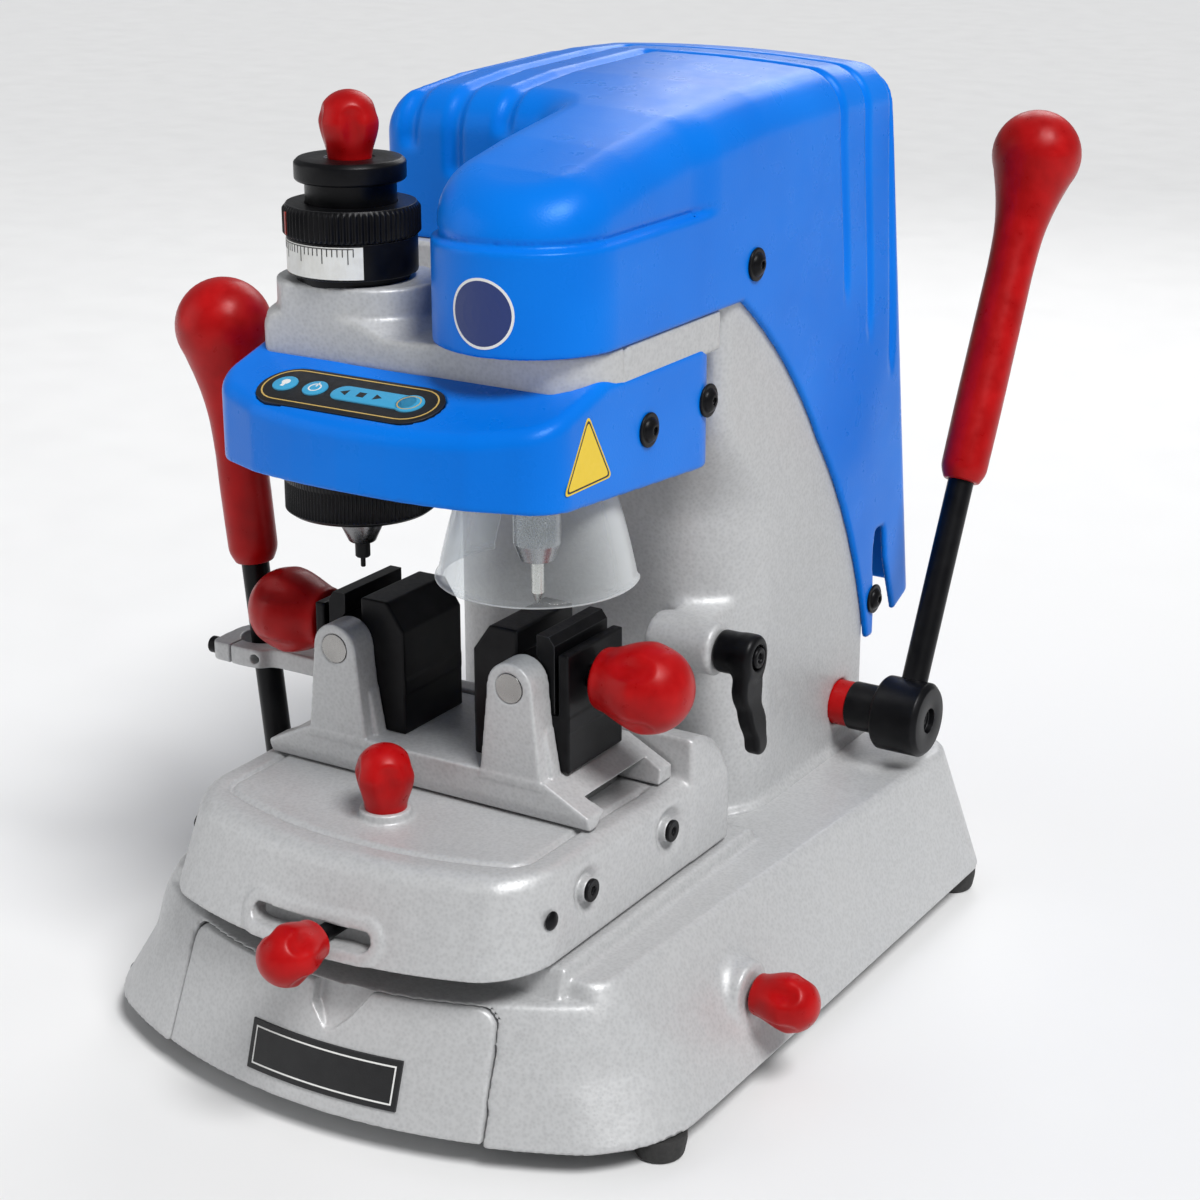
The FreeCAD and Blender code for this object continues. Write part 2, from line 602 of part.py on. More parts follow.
def dovetail_corners(gap):
    """Dovetail section in Y and Z, grown by a gap."""
    return [("tail_y - tail_root - %s" % gap, "skirt_top"), ("tail_y + tail_root + %s" % gap, "skirt_top"),
            ("tail_y + tail_tip + %s" % gap, "tail_top + %s" % gap),
            ("tail_y - tail_tip - %s" % gap, "tail_top + %s" % gap)]


def x_dovetail_rail():
    tail = extruded("tail", "YZ_Plane", dovetail_corners("0"), "-tail_half", "2 * tail_half")
    return subpart(tail, "x_dovetail_rail")


def skirt_screws():
    """Countersunk screws that hold the guides, two on each side."""
    screws = []
    for name, y, z in (("front", "-144", "111.6"), ("rear", "-72", "112.6")):
        screws.append(rod(name + "_skirt_screw", "5.5", "X", ("skirt_half", "skirt_half + 2"), (y, z)))
    right = group("right_skirt_screws", *screws)
    return subpart(group("skirt_screw_set", right, mirror("left_skirt_screws", right)), "skirt_screws")


def x_lock_knob():
    knob = pear("lock_knob", "small_ball", "small_neck", "small_long", "stem_radius", "16")
    return subpart(move_to(knob, 0, "collar_y", "collar_top + 0.3"), "x_lock_knob")


def slot_knob():
    """Knob of the slide stop, with a flat tongue behind the slot."""
    knob = pear("stop_knob", "small_ball", "small_neck - 2", "small_long", "stem_radius", "32")
    knob.Placement = Placement(Vector(), TURN_TO["-Y"])
    move_to(knob, "9", "skirt_front - 3", "slot_z")
    tongue = box("stop_tongue", ("1", "17"), ("-200", "-196"), ("slot_z - 3.5", "slot_z + 3.5"))
    return subpart(fuse("slide_stop", knob, tongue), "slot_knob")


# ---- vise slide -------------------------------------------------------------------------------

def vise_slide_casting():
    plan = [("-slide_half", "slide_bottom"), ("slide_half", "slide_bottom"),
            ("slide_half", "slide_skirt"), ("slide_land", "slide_top"),
            ("-slide_land", "slide_top"), ("-slide_half", "slide_skirt")]
    saddle = extruded("slide_saddle", "XZ_Plane", plan, "-slide_back", "slide_back - slide_front")
    groove = extruded("slide_groove", "YZ_Plane", dovetail_corners("running_gap"),
                      "-slide_half - 1", "2 * slide_half + 2")
    undercut = extruded("slide_undercut", "YZ_Plane",
                        [("slide_front - 1", "slide_bottom - 1"), ("slide_front + 7", "slide_bottom - 1"),
                         ("slide_front", "slide_bottom + 5"), ("slide_front - 1", "slide_bottom + 5")],
                        "-slide_half - 1", "2 * slide_half + 2")
    post = extruded("post", "XZ_Plane",
                    [("vise_x - post_half", "slide_top - 1"), ("vise_x + post_half", "slide_top - 1"),
                     ("vise_x + post_tip", "pin_z"), ("vise_x - post_tip", "pin_z")],
                    "-post_back", "post_back - slide_front")
    crown = rod("post_crown", "post_tip", "Y", ("slide_front", "post_back"), ("vise_x", "pin_z"))
    right_post = cut("right_post", fuse("post_blank", post, crown),
                     rod("pin_bore", "pin_radius", "Y", ("slide_front - 1", "post_back + 1"),
                         ("vise_x", "pin_z")))
    saddle_cut = cut("saddle_cut", saddle, fuse("saddle_tools", groove, undercut))
    casting = fuse("vise_slide", saddle_cut, right_post, mirror("left_post", right_post))
    return subpart(casting, "vise_slide_casting")


def cross_pins():
    right = rod("right_pin", "pin_radius", "Y", ("slide_front", "post_back"), ("vise_x", "pin_z"))
    return subpart(group("pins", right, mirror("left_pin", right)), "cross_pins")


def vise_blocks():
    """Pair of vise bodies: shelf, fixed inner jaw and the ear that the clamp screw passes."""
    span = ("post_back", "block_y_back")
    shelf = box("shelf", ("block_inner", "block_outer"), span, ("slide_top", "block_shelf"))
    inner = box("fixed_jaw", ("block_inner", "gap_inner"), span, ("block_shelf - 1", "jaw_top"))
    relief = extruded("jaw_relief", "XZ_Plane",
                      [("block_inner - 1", "jaw_top - 14"), ("block_inner + 9", "jaw_top + 1"),
                       ("block_inner - 1", "jaw_top + 1")], "-block_y_back - 1", "block_y_back - post_back + 2")
    ear = box("ear", ("ear_inner", "block_outer"), span, ("block_shelf - 1", "ear_top"))
    bore = rod("clamp_bore", "screw_radius + running_gap", "X", ("ear_inner - 1", "block_outer + 1"),
               ("clamp_y", "clamp_z"))
    right = cut("right_block", fuse("block_blank", shelf, inner, ear), fuse("block_tools", relief, bore))
    return subpart(group("vises", right, mirror("left_block", right)), "vise_blocks")


def outer_jaws():
    """Sliding jaws with a lip that grips the key blank."""
    jaw = extruded("right_jaw", "XZ_Plane",
                   [("gap_outer + 2", "block_shelf"), ("jaw_back", "block_shelf"), ("jaw_back", "jaw_top - 4"),
                    ("jaw_back - 3", "jaw_top"), ("gap_outer", "jaw_top"), ("gap_outer", "jaw_top - 10"),
                    ("gap_outer + 2", "jaw_top - 12")],
                   "-block_y_back + 1", "block_y_back - post_back - 2")
    subpart(jaw, "right_outer_jaw")
    return subpart(mirror("left_jaw", jaw), "left_outer_jaw")


def clamp_knobs():
    """Clamp screw with its red knob; the screw pushes the sliding jaw."""
    knob = pear("clamp_knob", "knob_ball", "knob_neck", "knob_end - knob_start", "screw_radius",
                "knob_start - jaw_back")
    knob.Placement = Placement(Vector(), TURN_TO["+X"])
    move_to(knob, "knob_start", "clamp_y", "clamp_z")
    subpart(knob, "right_clamp_knob")
    return subpart(mirror("left_knob", knob), "left_clamp_knob")


def lever_ring():
    """Split ring on the vise slide through which the joystick rod passes."""
    low, high = "ring_z - ring_half", "ring_z + ring_half"
    rim = rod("ring_rim", "ring_outer", "Z", (low, high), ("ring_x", "ring_y"))
    arm = box("ring_arm", ("ring_x", "-block_outer"), ("ring_y - 9", "ring_y + 9"), (low, high))
    lug = box("ring_lug", ("ring_x - ring_outer - 14", "ring_x"), ("ring_y - 11", "ring_y + 3"), (low, high))
    bore = rod("ring_hole", "ring_bore", "Z", (low + " - 1", high + " + 1"), ("ring_x", "ring_y"))
    split = box("ring_split", ("ring_x - ring_outer - 15", "ring_x"), ("ring_y - 4.8", "ring_y - 3.2"),
                (low + " - 1", high + " + 1"))
    bracket = cut("ring", fuse("ring_blank", rim, arm, lug), fuse("ring_tools", bore, split))
    return subpart(bracket, "lever_ring")


# ---- joystick lever ---------------------------------------------------------------------------

def lever_gimbal():
    """Ring of the universal joint with two trunnions along Y."""
    ring = tube("gimbal_ring", "gimbal_outer", "gimbal_inner", ("-gimbal_half", "gimbal_half"))
    pins = [rod("trunnion_front", "trunnion", "Y", ("-cup_radius + 0.5", "-gimbal_outer + 1"), ("0", "0")),
            rod("trunnion_back", "trunnion", "Y", ("gimbal_outer - 1", "cup_radius - 0.5"), ("0", "0"))]
    bore = rod("gimbal_bore", "trunnion + running_gap", "X", ("-gimbal_outer - 1", "gimbal_outer + 1"),
               ("0", "0"))
    gimbal = fuse("gimbal", cut("gimbal_body", ring, bore), *pins)
    return subpart(move_to(gimbal, "joint_x", "joint_y", "joint_z"), "lever_gimbal")


def left_lever():
    """Joystick rod with its cross pin, and the grip; both lean outwards."""
    tilt = Rotation(Vector(0, 1, 0), -size("lean"))
    shaft = rod("left_shaft", "rod_radius", "Z", ("-7", "grip_start + 60"), ("0", "0"))
    pin = rod("left_pin_through", "trunnion", "X", ("-gimbal_outer + 0.8", "gimbal_outer - 0.8"),
              ("0", "0"))
    upright = posed("left_upright", shaft, Placement(Vector(), tilt))
    lever = fuse("left_rod", upright, pin)
    move_to(lever, "joint_x", "joint_y", "joint_z")
    subpart(lever, "left_lever_rod")
    grip = lever_grip("left_grip", "grip_start", "left_ball_at")
    grip.Placement = Placement(Vector(), tilt)
    move_to(grip, "joint_x", "joint_y", "joint_z")
    return subpart(grip, "left_lever_grip")


def lever_grip(name, start, ball_at):
    """Long moulded grip with a ball end and a blind hole for the rod."""
    shank = fuse(name + "_shank",
                 cone(name + "_end", "grip_radius - 3.5", "grip_radius", (start, start + " + 7"), ("0", "0")),
                 cone(name + "_long", "grip_radius", "grip_radius - 0.8",
                      (start + " + 7", ball_at + " - 52"), ("0", "0")),
                 cone(name + "_flare", "grip_radius - 0.8", "ball_radius * 0.94",
                      (ball_at + " - 52", ball_at + " - 7"), ("0", "0")))
    ball = DOC.addObject("Part::Sphere", name + "_ball")
    bind(ball, Radius="ball_radius")
    move_to(ball, 0, 0, ball_at)
    hole = rod(name + "_hole", "rod_radius", "Z", (start + " - 1", start + " + 60"), ("0", "0"))
    return cut(name, fuse(name + "_blank", shank, ball), hole)


# ---- head -------------------------------------------------------------------------------------

def band_face(z, inset):
    """Plan of the grey band, rounded at its front corners."""
    half = size("head_half") - inset
    front = size("band_front") + inset
    back = size("band_back")
    corners = [Vector(-half, back, z), Vector(-half, -92, z), Vector(-68 + inset, front + 13, z),
               Vector(68 - inset, front + 13, z), Vector(half, -92, z), Vector(half, back, z)]
    return face_of(corners, {2: Vector(0, front, z)})


def head_casting():
    """Band, tracer deck, spindle housing, webs and the bridge that reaches back over the column."""
    band = band_face(size("band_bottom"), 0).extrude(Vector(0, 0, size("band_top") - size("band_bottom")))
    deck = Part.makeCylinder(size("deck_radius"), size("deck_top") - size("band_bottom"),
                             Vector(-size("vise_x"), size("axis_y") + 12, size("band_bottom")))
    deck = deck.common(band_face(size("band_bottom"), 1).extrude(Vector(0, 0, 60)))
    low, top = size("band_bottom"), size("bridge_top")
    apron = block((-75, 2), (-32, size("band_back")), (low, size("hood_step_z") - 0.3))
    left_web = block((-75, 2), (size("web_left_front"), size("band_back")), (low, top))
    right_web = block((8, 70), (size("web_front"), size("band_back")), (low, top))
    bridge = block((-size("bridge_half"), size("bridge_half")), (size("web_left_front"), size("bridge_back")),
                   (size("bridge_bottom"), top))
    nose = Part.makeCylinder(size("housing_radius"), size("housing_top") - size("housing_bottom"),
                             Vector(size("vise_x"), size("axis_y"), size("housing_bottom")))
    sleeve = Part.makeCylinder(size("sleeve_radius"), size("deck_top") - size("dial_top"),
                               Vector(-size("vise_x"), size("axis_y"), size("dial_top")))
    casting = band.fuse([deck, apron, left_web, right_web, bridge, nose, sleeve])
    low = size("dial_top") - 1
    tall = top - low + 1
    quill_bore = size("quill_radius") + size("running_gap")
    holes = [Part.makeCylinder(size("bearing_radius"), tall, Vector(size("vise_x"), size("axis_y"), low)),
             Part.makeCylinder(quill_bore, tall, Vector(-size("vise_x"), size("axis_y"), low)),
             Part.makeCylinder(7, tall, Vector(size("motor_x"), size("motor_y"), low))]
    for x in (size("guide_left"), size("guide_right")):
        holes.append(Part.makeCylinder(size("guide_radius"), tall, Vector(x, size("guide_y"), low)))
    return subpart(feature("head_shape", casting.cut(holes)), "head_casting")


def cover_face(z, inset):
    """Plan of the lower cover: bowed front and cut-back corners."""
    half = size("head_half") - inset
    corner_x = size("cover_corner_x") - inset * 0.6
    shoulder = size("cover_shoulder") + inset
    corner_y = size("cover_corner_y") + inset * 0.6
    back = size("cover_back")
    corners = [Vector(-half, back, z), Vector(-half, corner_y, z), Vector(-corner_x, shoulder, z),
               Vector(corner_x, shoulder, z), Vector(half, corner_y, z), Vector(half, back, z)]
    return face_of(corners, {2: Vector(0, size("cover_front") + inset, z)})


def cover_solid(inset):
    """Lower cover as a solid: brow slopes down to the front, chin rises to the front."""
    low = size("cover_heel") - 2
    shape = cover_face(low, inset).extrude(Vector(0, 0, size("band_bottom") - low))
    shape = rounded(shape, 22 - inset, lambda edge: slopes_up(edge) and edge.BoundBox.YMax < -100)
    reach = size("head_half") + 5
    front = size("cover_front") - 5
    brow = face_of([Vector(-reach, front, size("cover_brow") - inset - 1),
                    Vector(-reach, size("band_front"), size("band_bottom") - inset),
                    Vector(-reach, size("band_front"), 400), Vector(-reach, front, 400)])
    chin = face_of([Vector(-reach, front, size("cover_chin")), Vector(-reach, front, 200),
                    Vector(-reach, 0, 200), Vector(-reach, 0, size("cover_heel"))])
    wide = Vector(2 * reach, 0, 0)
    return shape.cut([brow.extrude(wide), chin.extrude(wide)])


def lower_cover():
    """Moulded skirt round the head, open above the casting and below."""
    shell = cover_solid(0)
    edge_y = size("band_front") + 3
    shell = rounded(shell, 5, lambda edge: edge.BoundBox.ZMin > 300 and edge.BoundBox.YMax < edge_y - 12)
    opening = band_face(200, 10).extrude(Vector(0, 0, 200))
    half, wide = size("panel_half"), size("panel_wide")
    ends = [Part.makeCylinder(wide, 20, Vector(side * (half - wide), 0, 0)) for side in (-1, 1)]
    recess = block((wide - half, half - wide), (-wide, wide), (0, 20)).fuse(ends)
    recess.Placement = panel_frame()
    return subpart(feature("cover_shape", shell.cut([cover_solid(size("cover_wall")), opening, recess])),
                   "lower_cover")


def hood_profile(inset):
    """Side view of the hood: level eaves, leaf-shaped cut round the column, leaning back, long sloping roof."""
    x = -size("hood_half") + inset
    eaves = size("band_top") + 0.2 - inset
    heel = size("hood_heel") - inset
    front = size("hood_front") + inset
    back = size("hood_back") - inset
    lead = 2 * inset
    points = [Vector(x, front, eaves), Vector(x, 8, eaves), Vector(x, 93 - lead, 263 - inset),
              Vector(x, 157 - lead, heel), Vector(x, size("hood_heel_back"), heel),
              Vector(x, size("hood_hem"), size("hood_hem_z") - inset),
              Vector(x, size("hood_tail") - inset, size("hood_tail_z") - lead), Vector(x, back, 425 - inset),
              Vector(x, back - 12, 443 - inset), Vector(x, 28, 444 - inset),
              Vector(x, -81, 430 - inset), Vector(x, front, 413 - inset)]
    leaf = {1: Vector(x, 58 - lead, 307 - inset), 2: Vector(x, 136 - lead, 195 - inset)}
    return face_of(points, leaf)


def hood_solid(inset):
    """Hood as a solid, drawn in by an inset; only its nose reaches ahead of the step."""
    half = size("hood_half") - inset
    radius = size("nose_radius") - inset
    nose_left = size("nose_x") - radius
    front = size("hood_front") - 1
    body = hood_profile(inset).extrude(Vector(2 * half, 0, 0))
    step = block((-half - 1, nose_left), (front, size("hood_step_y") + inset), (300, 500))
    nook = block((-half - 1, nose_left), (front, size("cheek_front") - 0.5), (300, size("hood_step_z")))
    nose = Part.makeCylinder(radius, 200, Vector(size("nose_x"), size("nose_y"), 300))
    ahead = block((nose_left - 20, half + 1), (front, size("nose_y")), (300, 500))
    return body.cut([step, nook, ahead.cut(nose)])


def upper_hood():
    """Thin moulded hood over the belt, the bridge and the column, open underneath."""
    shell = hood_solid(0).cut(hood_solid(size("hood_wall")))
    return subpart(feature("hood_shape", rounded(shell, size("hood_edge"), roof_edge)), "upper_hood")


def roof_edge(edge):
    """Long roof edges on the outside of both flanks."""
    bound = edge.BoundBox
    flank = size("hood_half") - 0.1
    return bound.ZMin > 400 and bound.YLength > 20 and (bound.XMin > flank or bound.XMax < -flank)


def panel_frame():
    """Placement on the sloping brow of the lower cover, its Z along the outward normal."""
    run = size("band_front") - (size("cover_front") - 5)
    rise = size("band_bottom") - (size("cover_brow") - 1)
    slope = math.degrees(math.atan2(rise, run))
    below_band = (size("band_front") - size("panel_y")) * rise / run
    centre = Vector(size("panel_x"), size("panel_y"), size("band_bottom") - below_band - size("panel_sink"))
    return Placement(centre, Rotation(Vector(1, 0, 0), slope))


def pill(name, half_length, half_width, span, x=0):
    """Flat plate with round ends, in its own frame."""
    middle = box(name + "_middle", ("%s - (%s) + (%s)" % (x, half_length, half_width),
                                    "%s + (%s) - (%s)" % (x, half_length, half_width)),
                 ("-(%s)" % half_width, half_width), span)
    left = rod(name + "_left", half_width, "Z", span,
               ("%s - (%s) + (%s)" % (x, half_length, half_width), "0"))
    right = rod(name + "_right", half_width, "Z", span,
                ("%s + (%s) - (%s)" % (x, half_length, half_width), "0"))
    return fuse(name, middle, left, right)


def selector_shape(name, gap, span):
    """Bar with round ends and a larger disc at its right end, grown by a gap."""
    bar = pill(name + "_bar", "selector_half + " + gap, "selector_wide + " + gap, span, "selector_at")
    disc = rod(name + "_disc", "selector_end_radius + " + gap, "Z", span, ("selector_end", "0"))
    return fuse(name, bar, disc)


def control_panel():
    """Keypad plate with two round keys and one long selector key, all pressed into the plate."""
    frame = panel_frame()
    plate = pill("panel_plate", "panel_half", "panel_wide", ("0", "panel_skin + 1.6"))
    well = ("0.4", "panel_skin + 3")
    holes = [rod(label + "_hole", "key_radius + running_gap", "Z", well, (spot, "0"))
             for spot, label in (("light_at", "light_button"), ("start_at", "start_button"))]
    holes.append(selector_shape("selector_hole", "running_gap", well))
    panel = cut("panel", plate, fuse("panel_holes", *holes))
    panel.Placement = frame
    subpart(panel, "control_panel")
    rise = ("0.4 + key_travel", "panel_skin + 2.2")
    for spot, label in (("light_at", "light_button"), ("start_at", "start_button")):
        key = rod(label + "_key", "key_radius", "Z", rise, (spot, "0"))
        subpart(posed(label + "_holder", key, frame), label)
    selector = selector_shape("selector_shape", "0", rise)
    selector.Placement = frame
    return subpart(selector, "selector_key")


def cover_screws():
    """Button-head screws with washers on both sides of the covers."""
    screws = []
    for number, (y, z, x) in enumerate(((19, 366, "hood_half"), (-79, 308.5, "head_half"),
                                        (-25, 310, "head_half"), (163, 157, "hood_half"))):
        screws.append(turned("cover_screw_%d" % number,
                             [("0", "0"), ("7.5", "0"), ("7.5", "1.2"), ("5.5", "1.2"),
                              ("4.5", "3.6"), ("3", "4.2"), ("0", "4.2")], "+X", (x, str(y), str(z))))
    right = group("right_cover_screws", *screws)
    return subpart(group("cover_screw_set", right, mirror("left_cover_screws", right)), "cover_screws")


def spindle_parts():
    """Two bearings, the spindle with its collet, and the cutter."""
    at = ("vise_x", "axis_y")
    low = tube("low_bearing", "bearing_radius", "shaft_radius + running_gap",
               ("housing_bottom", "housing_bottom + bearing_long"), at)
    high = tube("high_bearing", "bearing_radius", "shaft_radius + running_gap",
                ("housing_top - bearing_long", "housing_top"), at)
    subpart(group("bearings", low, high), "spindle_bearings")
    shaft = turned("spindle", [("cutter_radius", "collet_bottom"), ("collet_radius - 3", "collet_bottom"),
                               ("collet_radius", "collet_bottom + 8"), ("collet_radius", "collet_bottom + 26"),
                               ("shaft_radius", "collet_bottom + 32"), ("shaft_radius", "pulley_top + 2"),
                               ("0", "pulley_top + 2"), ("0", "collet_bottom + 24"),
                               ("cutter_radius", "collet_bottom + 24")], at=(*at, 0))
    subpart(shaft, "spindle_shaft")
    cutter = turned("cutter_bit", [("0", "cutter_tip"), ("cutter_radius * 0.3", "cutter_tip"),
                                   ("cutter_radius", "cutter_tip + 5"), ("cutter_radius", "collet_bottom + 24"),
                                   ("0", "collet_bottom + 24")], at=(*at, 0))
    return subpart(cutter, "cutter")


def pulley_ring(name, radius, bore, at):
    """Flanged flat-belt pulley."""
    return turned(name, [(bore, "pulley_bottom - 2"), ("%s + 3.5" % radius, "pulley_bottom - 2"),
                         ("%s + 3.5" % radius, "pulley_bottom - 0.5"), (radius, "pulley_bottom - 0.5"),
                         (radius, "pulley_top + 0.5"), ("%s + 3.5" % radius, "pulley_top + 0.5"),
                         ("%s + 3.5" % radius, "pulley_top + 2"), (bore, "pulley_top + 2")],
                  at=(at[0], at[1], 0))


def drive_parts():
    """Motor, both pulleys and the belt between them."""
    motor_at = ("motor_x", "motor_y")
    motor = turned("motor", [("6", "motor_bottom - 6"), ("motor_radius - 8", "motor_bottom - 6"),
                             ("motor_radius", "motor_bottom"), ("motor_radius", "bridge_bottom"),
                             ("6", "bridge_bottom")], at=(*motor_at, 0))
    subpart(motor, "spindle_motor")
    wheel = pulley_ring("motor_wheel", "motor_pulley", "0", motor_at)
    axle = rod("motor_axle", "5.9", "Z", ("motor_bottom", "pulley_bottom"), motor_at)
    subpart(fuse("motor_rotor", wheel, axle), "motor_pulley")
    subpart(pulley_ring("spindle_wheel", "spindle_pulley", "shaft_radius", ("vise_x", "axis_y")),
            "spindle_pulley")
    return subpart(feature("belt", belt_shape()), "drive_belt")


def belt_shape():
    """Flat belt round both pulleys, following their common tangents."""
    big = Vector(size("vise_x"), size("axis_y"), size("pulley_bottom"))
    small = Vector(size("motor_x"), size("motor_y"), size("pulley_bottom"))
    height = Vector(0, 0, size("pulley_top") - size("pulley_bottom"))
    inner = belt_face(big, size("spindle_pulley") + 0.05, small, size("motor_pulley") + 0.05)
    skin = size("belt_skin")
    outer = belt_face(big, size("spindle_pulley") + skin, small, size("motor_pulley") + skin)
    return outer.extrude(height).cut(inner.extrude(height))


def belt_face(centre_a, radius_a, centre_b, radius_b):
    """Face bounded by two arcs and the outer tangents of two circles."""
    run = centre_b - centre_a
    heading = math.atan2(run.y, run.x)
    spread = math.acos((radius_a - radius_b) / run.Length)

    def spot(centre, radius, angle):
        return centre + Vector(radius * math.cos(angle), radius * math.sin(angle), 0)
    corners = [spot(centre_a, radius_a, heading + spread), spot(centre_a, radius_a, heading - spread),
               spot(centre_b, radius_b, heading - spread), spot(centre_b, radius_b, heading + spread)]
    arcs = {0: spot(centre_a, radius_a, heading + math.pi), 2: spot(centre_b, radius_b, heading)}
    return face_of(corners, arcs)


def tracer_parts():
    """Tracer quill with its chuck, stylus, graduated ring, micrometer and lock cap."""
    at = ("-vise_x", "axis_y")
    quill = turned("quill", [("shank_radius", "cone_bottom"), ("cone_tip", "cone_bottom"),
                             ("12", "cone_top"), ("12", "dial_bottom"), ("quill_radius", "dial_bottom"),
                             ("quill_radius", "label_top - 1.5"), ("0", "label_top - 1.5"),
                             ("0", "cone_top"), ("shank_radius", "cone_top")], at=(*at, 0))
    subpart(quill, "tracer_quill")
    stylus = turned("stylus", [("0", "stylus_tip"), ("stylus_radius", "stylus_tip"),
                               ("stylus_radius", "shank_bottom"), ("shank_radius", "shank_bottom"),
                               ("shank_radius", "cone_top"), ("0", "cone_top")], at=(*at, 0))
    subpart(stylus, "tracer_stylus")
    dial = tube("dial", "dial_radius", "quill_radius + running_gap", ("dial_bottom + 1", "dial_top"), at)
    subpart(dial, "graduated_ring")
    label = tube("label_ring", "label_radius", "quill_radius + running_gap", ("label_bottom", "label_top"), at)
    subpart(label, "micrometer_sleeve")
    ring = turned("knurl", [("neck_radius + running_gap", "label_top"), ("knurl_radius - 1", "label_top"),
                            ("knurl_radius", "label_top + 1"), ("knurl_radius", "knurl_top - 1"),
                            ("knurl_radius - 1", "knurl_top"), ("neck_radius + running_gap", "knurl_top")],
                  at=(*at, 0))
    subpart(ring, "micrometer_ring")
    cap = turned("cap", [("0", "label_top"), ("neck_radius", "label_top"),
                         ("neck_radius", "neck_top"), ("cap_radius - 1", "neck_top"),
                         ("cap_radius", "neck_top + 1"), ("cap_radius", "cap_top - 2"),
                         ("cap_radius - 2", "cap_top"), ("0", "cap_top")], at=(*at, 0))
    subpart(cap, "tracer_cap")
    knob = pear("top_knob", "small_ball", "small_neck", "small_long - 3", "1", "0")
    return subpart(move_to(knob, "-vise_x", "axis_y", "cap_top"), "tracer_knob")


def cutter_shield():
    """Clear conical guard, open towards the column, hung from a ring round the spindle housing."""
    span = ("shield_bottom", "shield_top")
    skin = turned("shield_cone", [("shield_rim - shield_skin", span[0]), ("shield_rim", span[0]),
                                  ("shield_top_radius", span[1]),
                                  ("shield_top_radius", "housing_bottom + 3"),
                                  ("housing_radius + running_gap", "housing_bottom + 3"),
                                  ("housing_radius + running_gap", "housing_bottom + 1"),
                                  ("shield_top_radius - shield_skin", "housing_bottom + 1"),
                                  ("shield_top_radius - shield_skin", span[1])])
    gap = box("shield_gap", ("-60", "60"), ("22", "60"), ("shield_bottom - 1", "housing_bottom + 0.9"))
    return subpart(move_to(cut("shield", skin, gap), "vise_x", "axis_y", 0), "cutter_shield")


def guide_rods():
    left = rod("left_guide", "guide_radius", "Z", ("guide_bottom", "bridge_top"), ("guide_left", "guide_y"))
    right = rod("right_guide", "guide_radius", "Z", ("guide_bottom", "bridge_top"), ("guide_right", "guide_y"))
    return subpart(group("guides", left, right), "head_guide_rods")


# ---- height lever -----------------------------------------------------------------------------

def head_rack():
    """Rack bar under the bridge; its teeth face the pinion behind it."""
    module = size("module")
    pitch = math.pi * module
    pitch_y = size("lever_y") - module * size("pinion_teeth") / 2
    tip, root = pitch_y + size("tooth_height"), pitch_y - size("tooth_root")
    half_at_pitch = 0.84
    slope = math.tan(math.radians(20))
    back = pitch_y - size("rack_depth")
    half = size("rack_half")
    bar = block((-half, half), (back, root), (size("rack_bottom"), size("rack_top")))
    teeth = []
    for number in range(-2, 8):
        z = size("lever_z") + number * pitch
        wide = half_at_pitch + size("tooth_root") * slope
        thin = half_at_pitch - size("tooth_height") * slope
        face = face_of([Vector(-half, root - 0.2, z - wide), Vector(-half, tip, z - thin),
                        Vector(-half, tip, z + thin), Vector(-half, root - 0.2, z + wide)])
        teeth.append(face.extrude(Vector(2 * half, 0, 0)))
    return subpart(feature("rack", bar.fuse(teeth)), "head_rack")


def pinion_face(x):
    """Toothed outline round the lever axis, with a gap facing the rack."""
    radius = size("module") * size("pinion_teeth") / 2
    tip, root = radius + size("tooth_height"), radius - size("tooth_root")
    teeth = int(size("pinion_teeth"))
    half_tip, half_pitch, half_root = 0.42, 0.80, 1.05
    points = []
    for number in range(teeth):
        middle = math.pi + (number + 0.5) * 2 * math.pi / teeth
        for reach, offset in ((root, -half_root), (radius, -half_pitch), (tip, -half_tip),
                              (tip, half_tip), (radius, half_pitch), (root, half_root)):
            angle = middle + offset / reach
            points.append(Vector(x, size("lever_y") + reach * math.cos(angle),
                                 size("lever_z") + reach * math.sin(angle)))
    return face_of(points)


def pinion_shaft():
    half = size("rack_half") + 1
    gear = pinion_face(-half).extrude(Vector(2 * half, 0, 0))
    left = -size("column_half") + 1
    shaft = Part.makeCylinder(size("lever_shaft"), size("rod_x") - left,
                              Vector(left, size("lever_y"), size("lever_z")), Vector(1, 0, 0))
    return subpart(feature("pinion", gear.fuse(shaft)), "pinion_shaft")


def right_lever():
    """Hub, rod and grip of the height lever, leaning back from the pinion shaft."""
    hub = turned("hub_blank", [("lever_shaft", "bush_out + 0.2"), ("hub_neck", "bush_out + 0.2"),
                               ("hub_neck", "hub_in"), ("hub_radius - 1.5", "hub_in"),
                               ("hub_radius", "hub_in + 1.5"), ("hub_radius", "hub_out - 2"),
                               ("hub_radius - 2", "hub_out"), ("6", "hub_out"), ("6", "hub_out - 6"),
                               ("0", "hub_out - 6"), ("0", "rod_x"), ("lever_shaft", "rod_x")],
                 "+X", (0, "lever_y", "lever_z"))
    tilt = Placement(Vector(size("rod_x"), size("lever_y"), size("lever_z")),
                     Rotation(Vector(1, 0, 0), -size("lever_lean")))
    bore = rod("hub_rod_bore", "rod_radius", "Z", ("lever_shaft + 1", "hub_radius + 10"), ("0", "0"))
    subpart(cut("hub", hub, posed("hub_rod_bore_posed", bore, tilt)), "lever_hub")
    shaft = rod("right_shaft", "rod_radius", "Z", ("lever_shaft + 1", "right_grip_start + 60"), ("0", "0"))
    subpart(posed("right_rod", shaft, tilt), "right_lever_rod")
    grip = lever_grip("right_grip", "right_grip_start", "right_ball_at")
    grip.Placement = tilt
    return subpart(grip, "right_lever_grip")


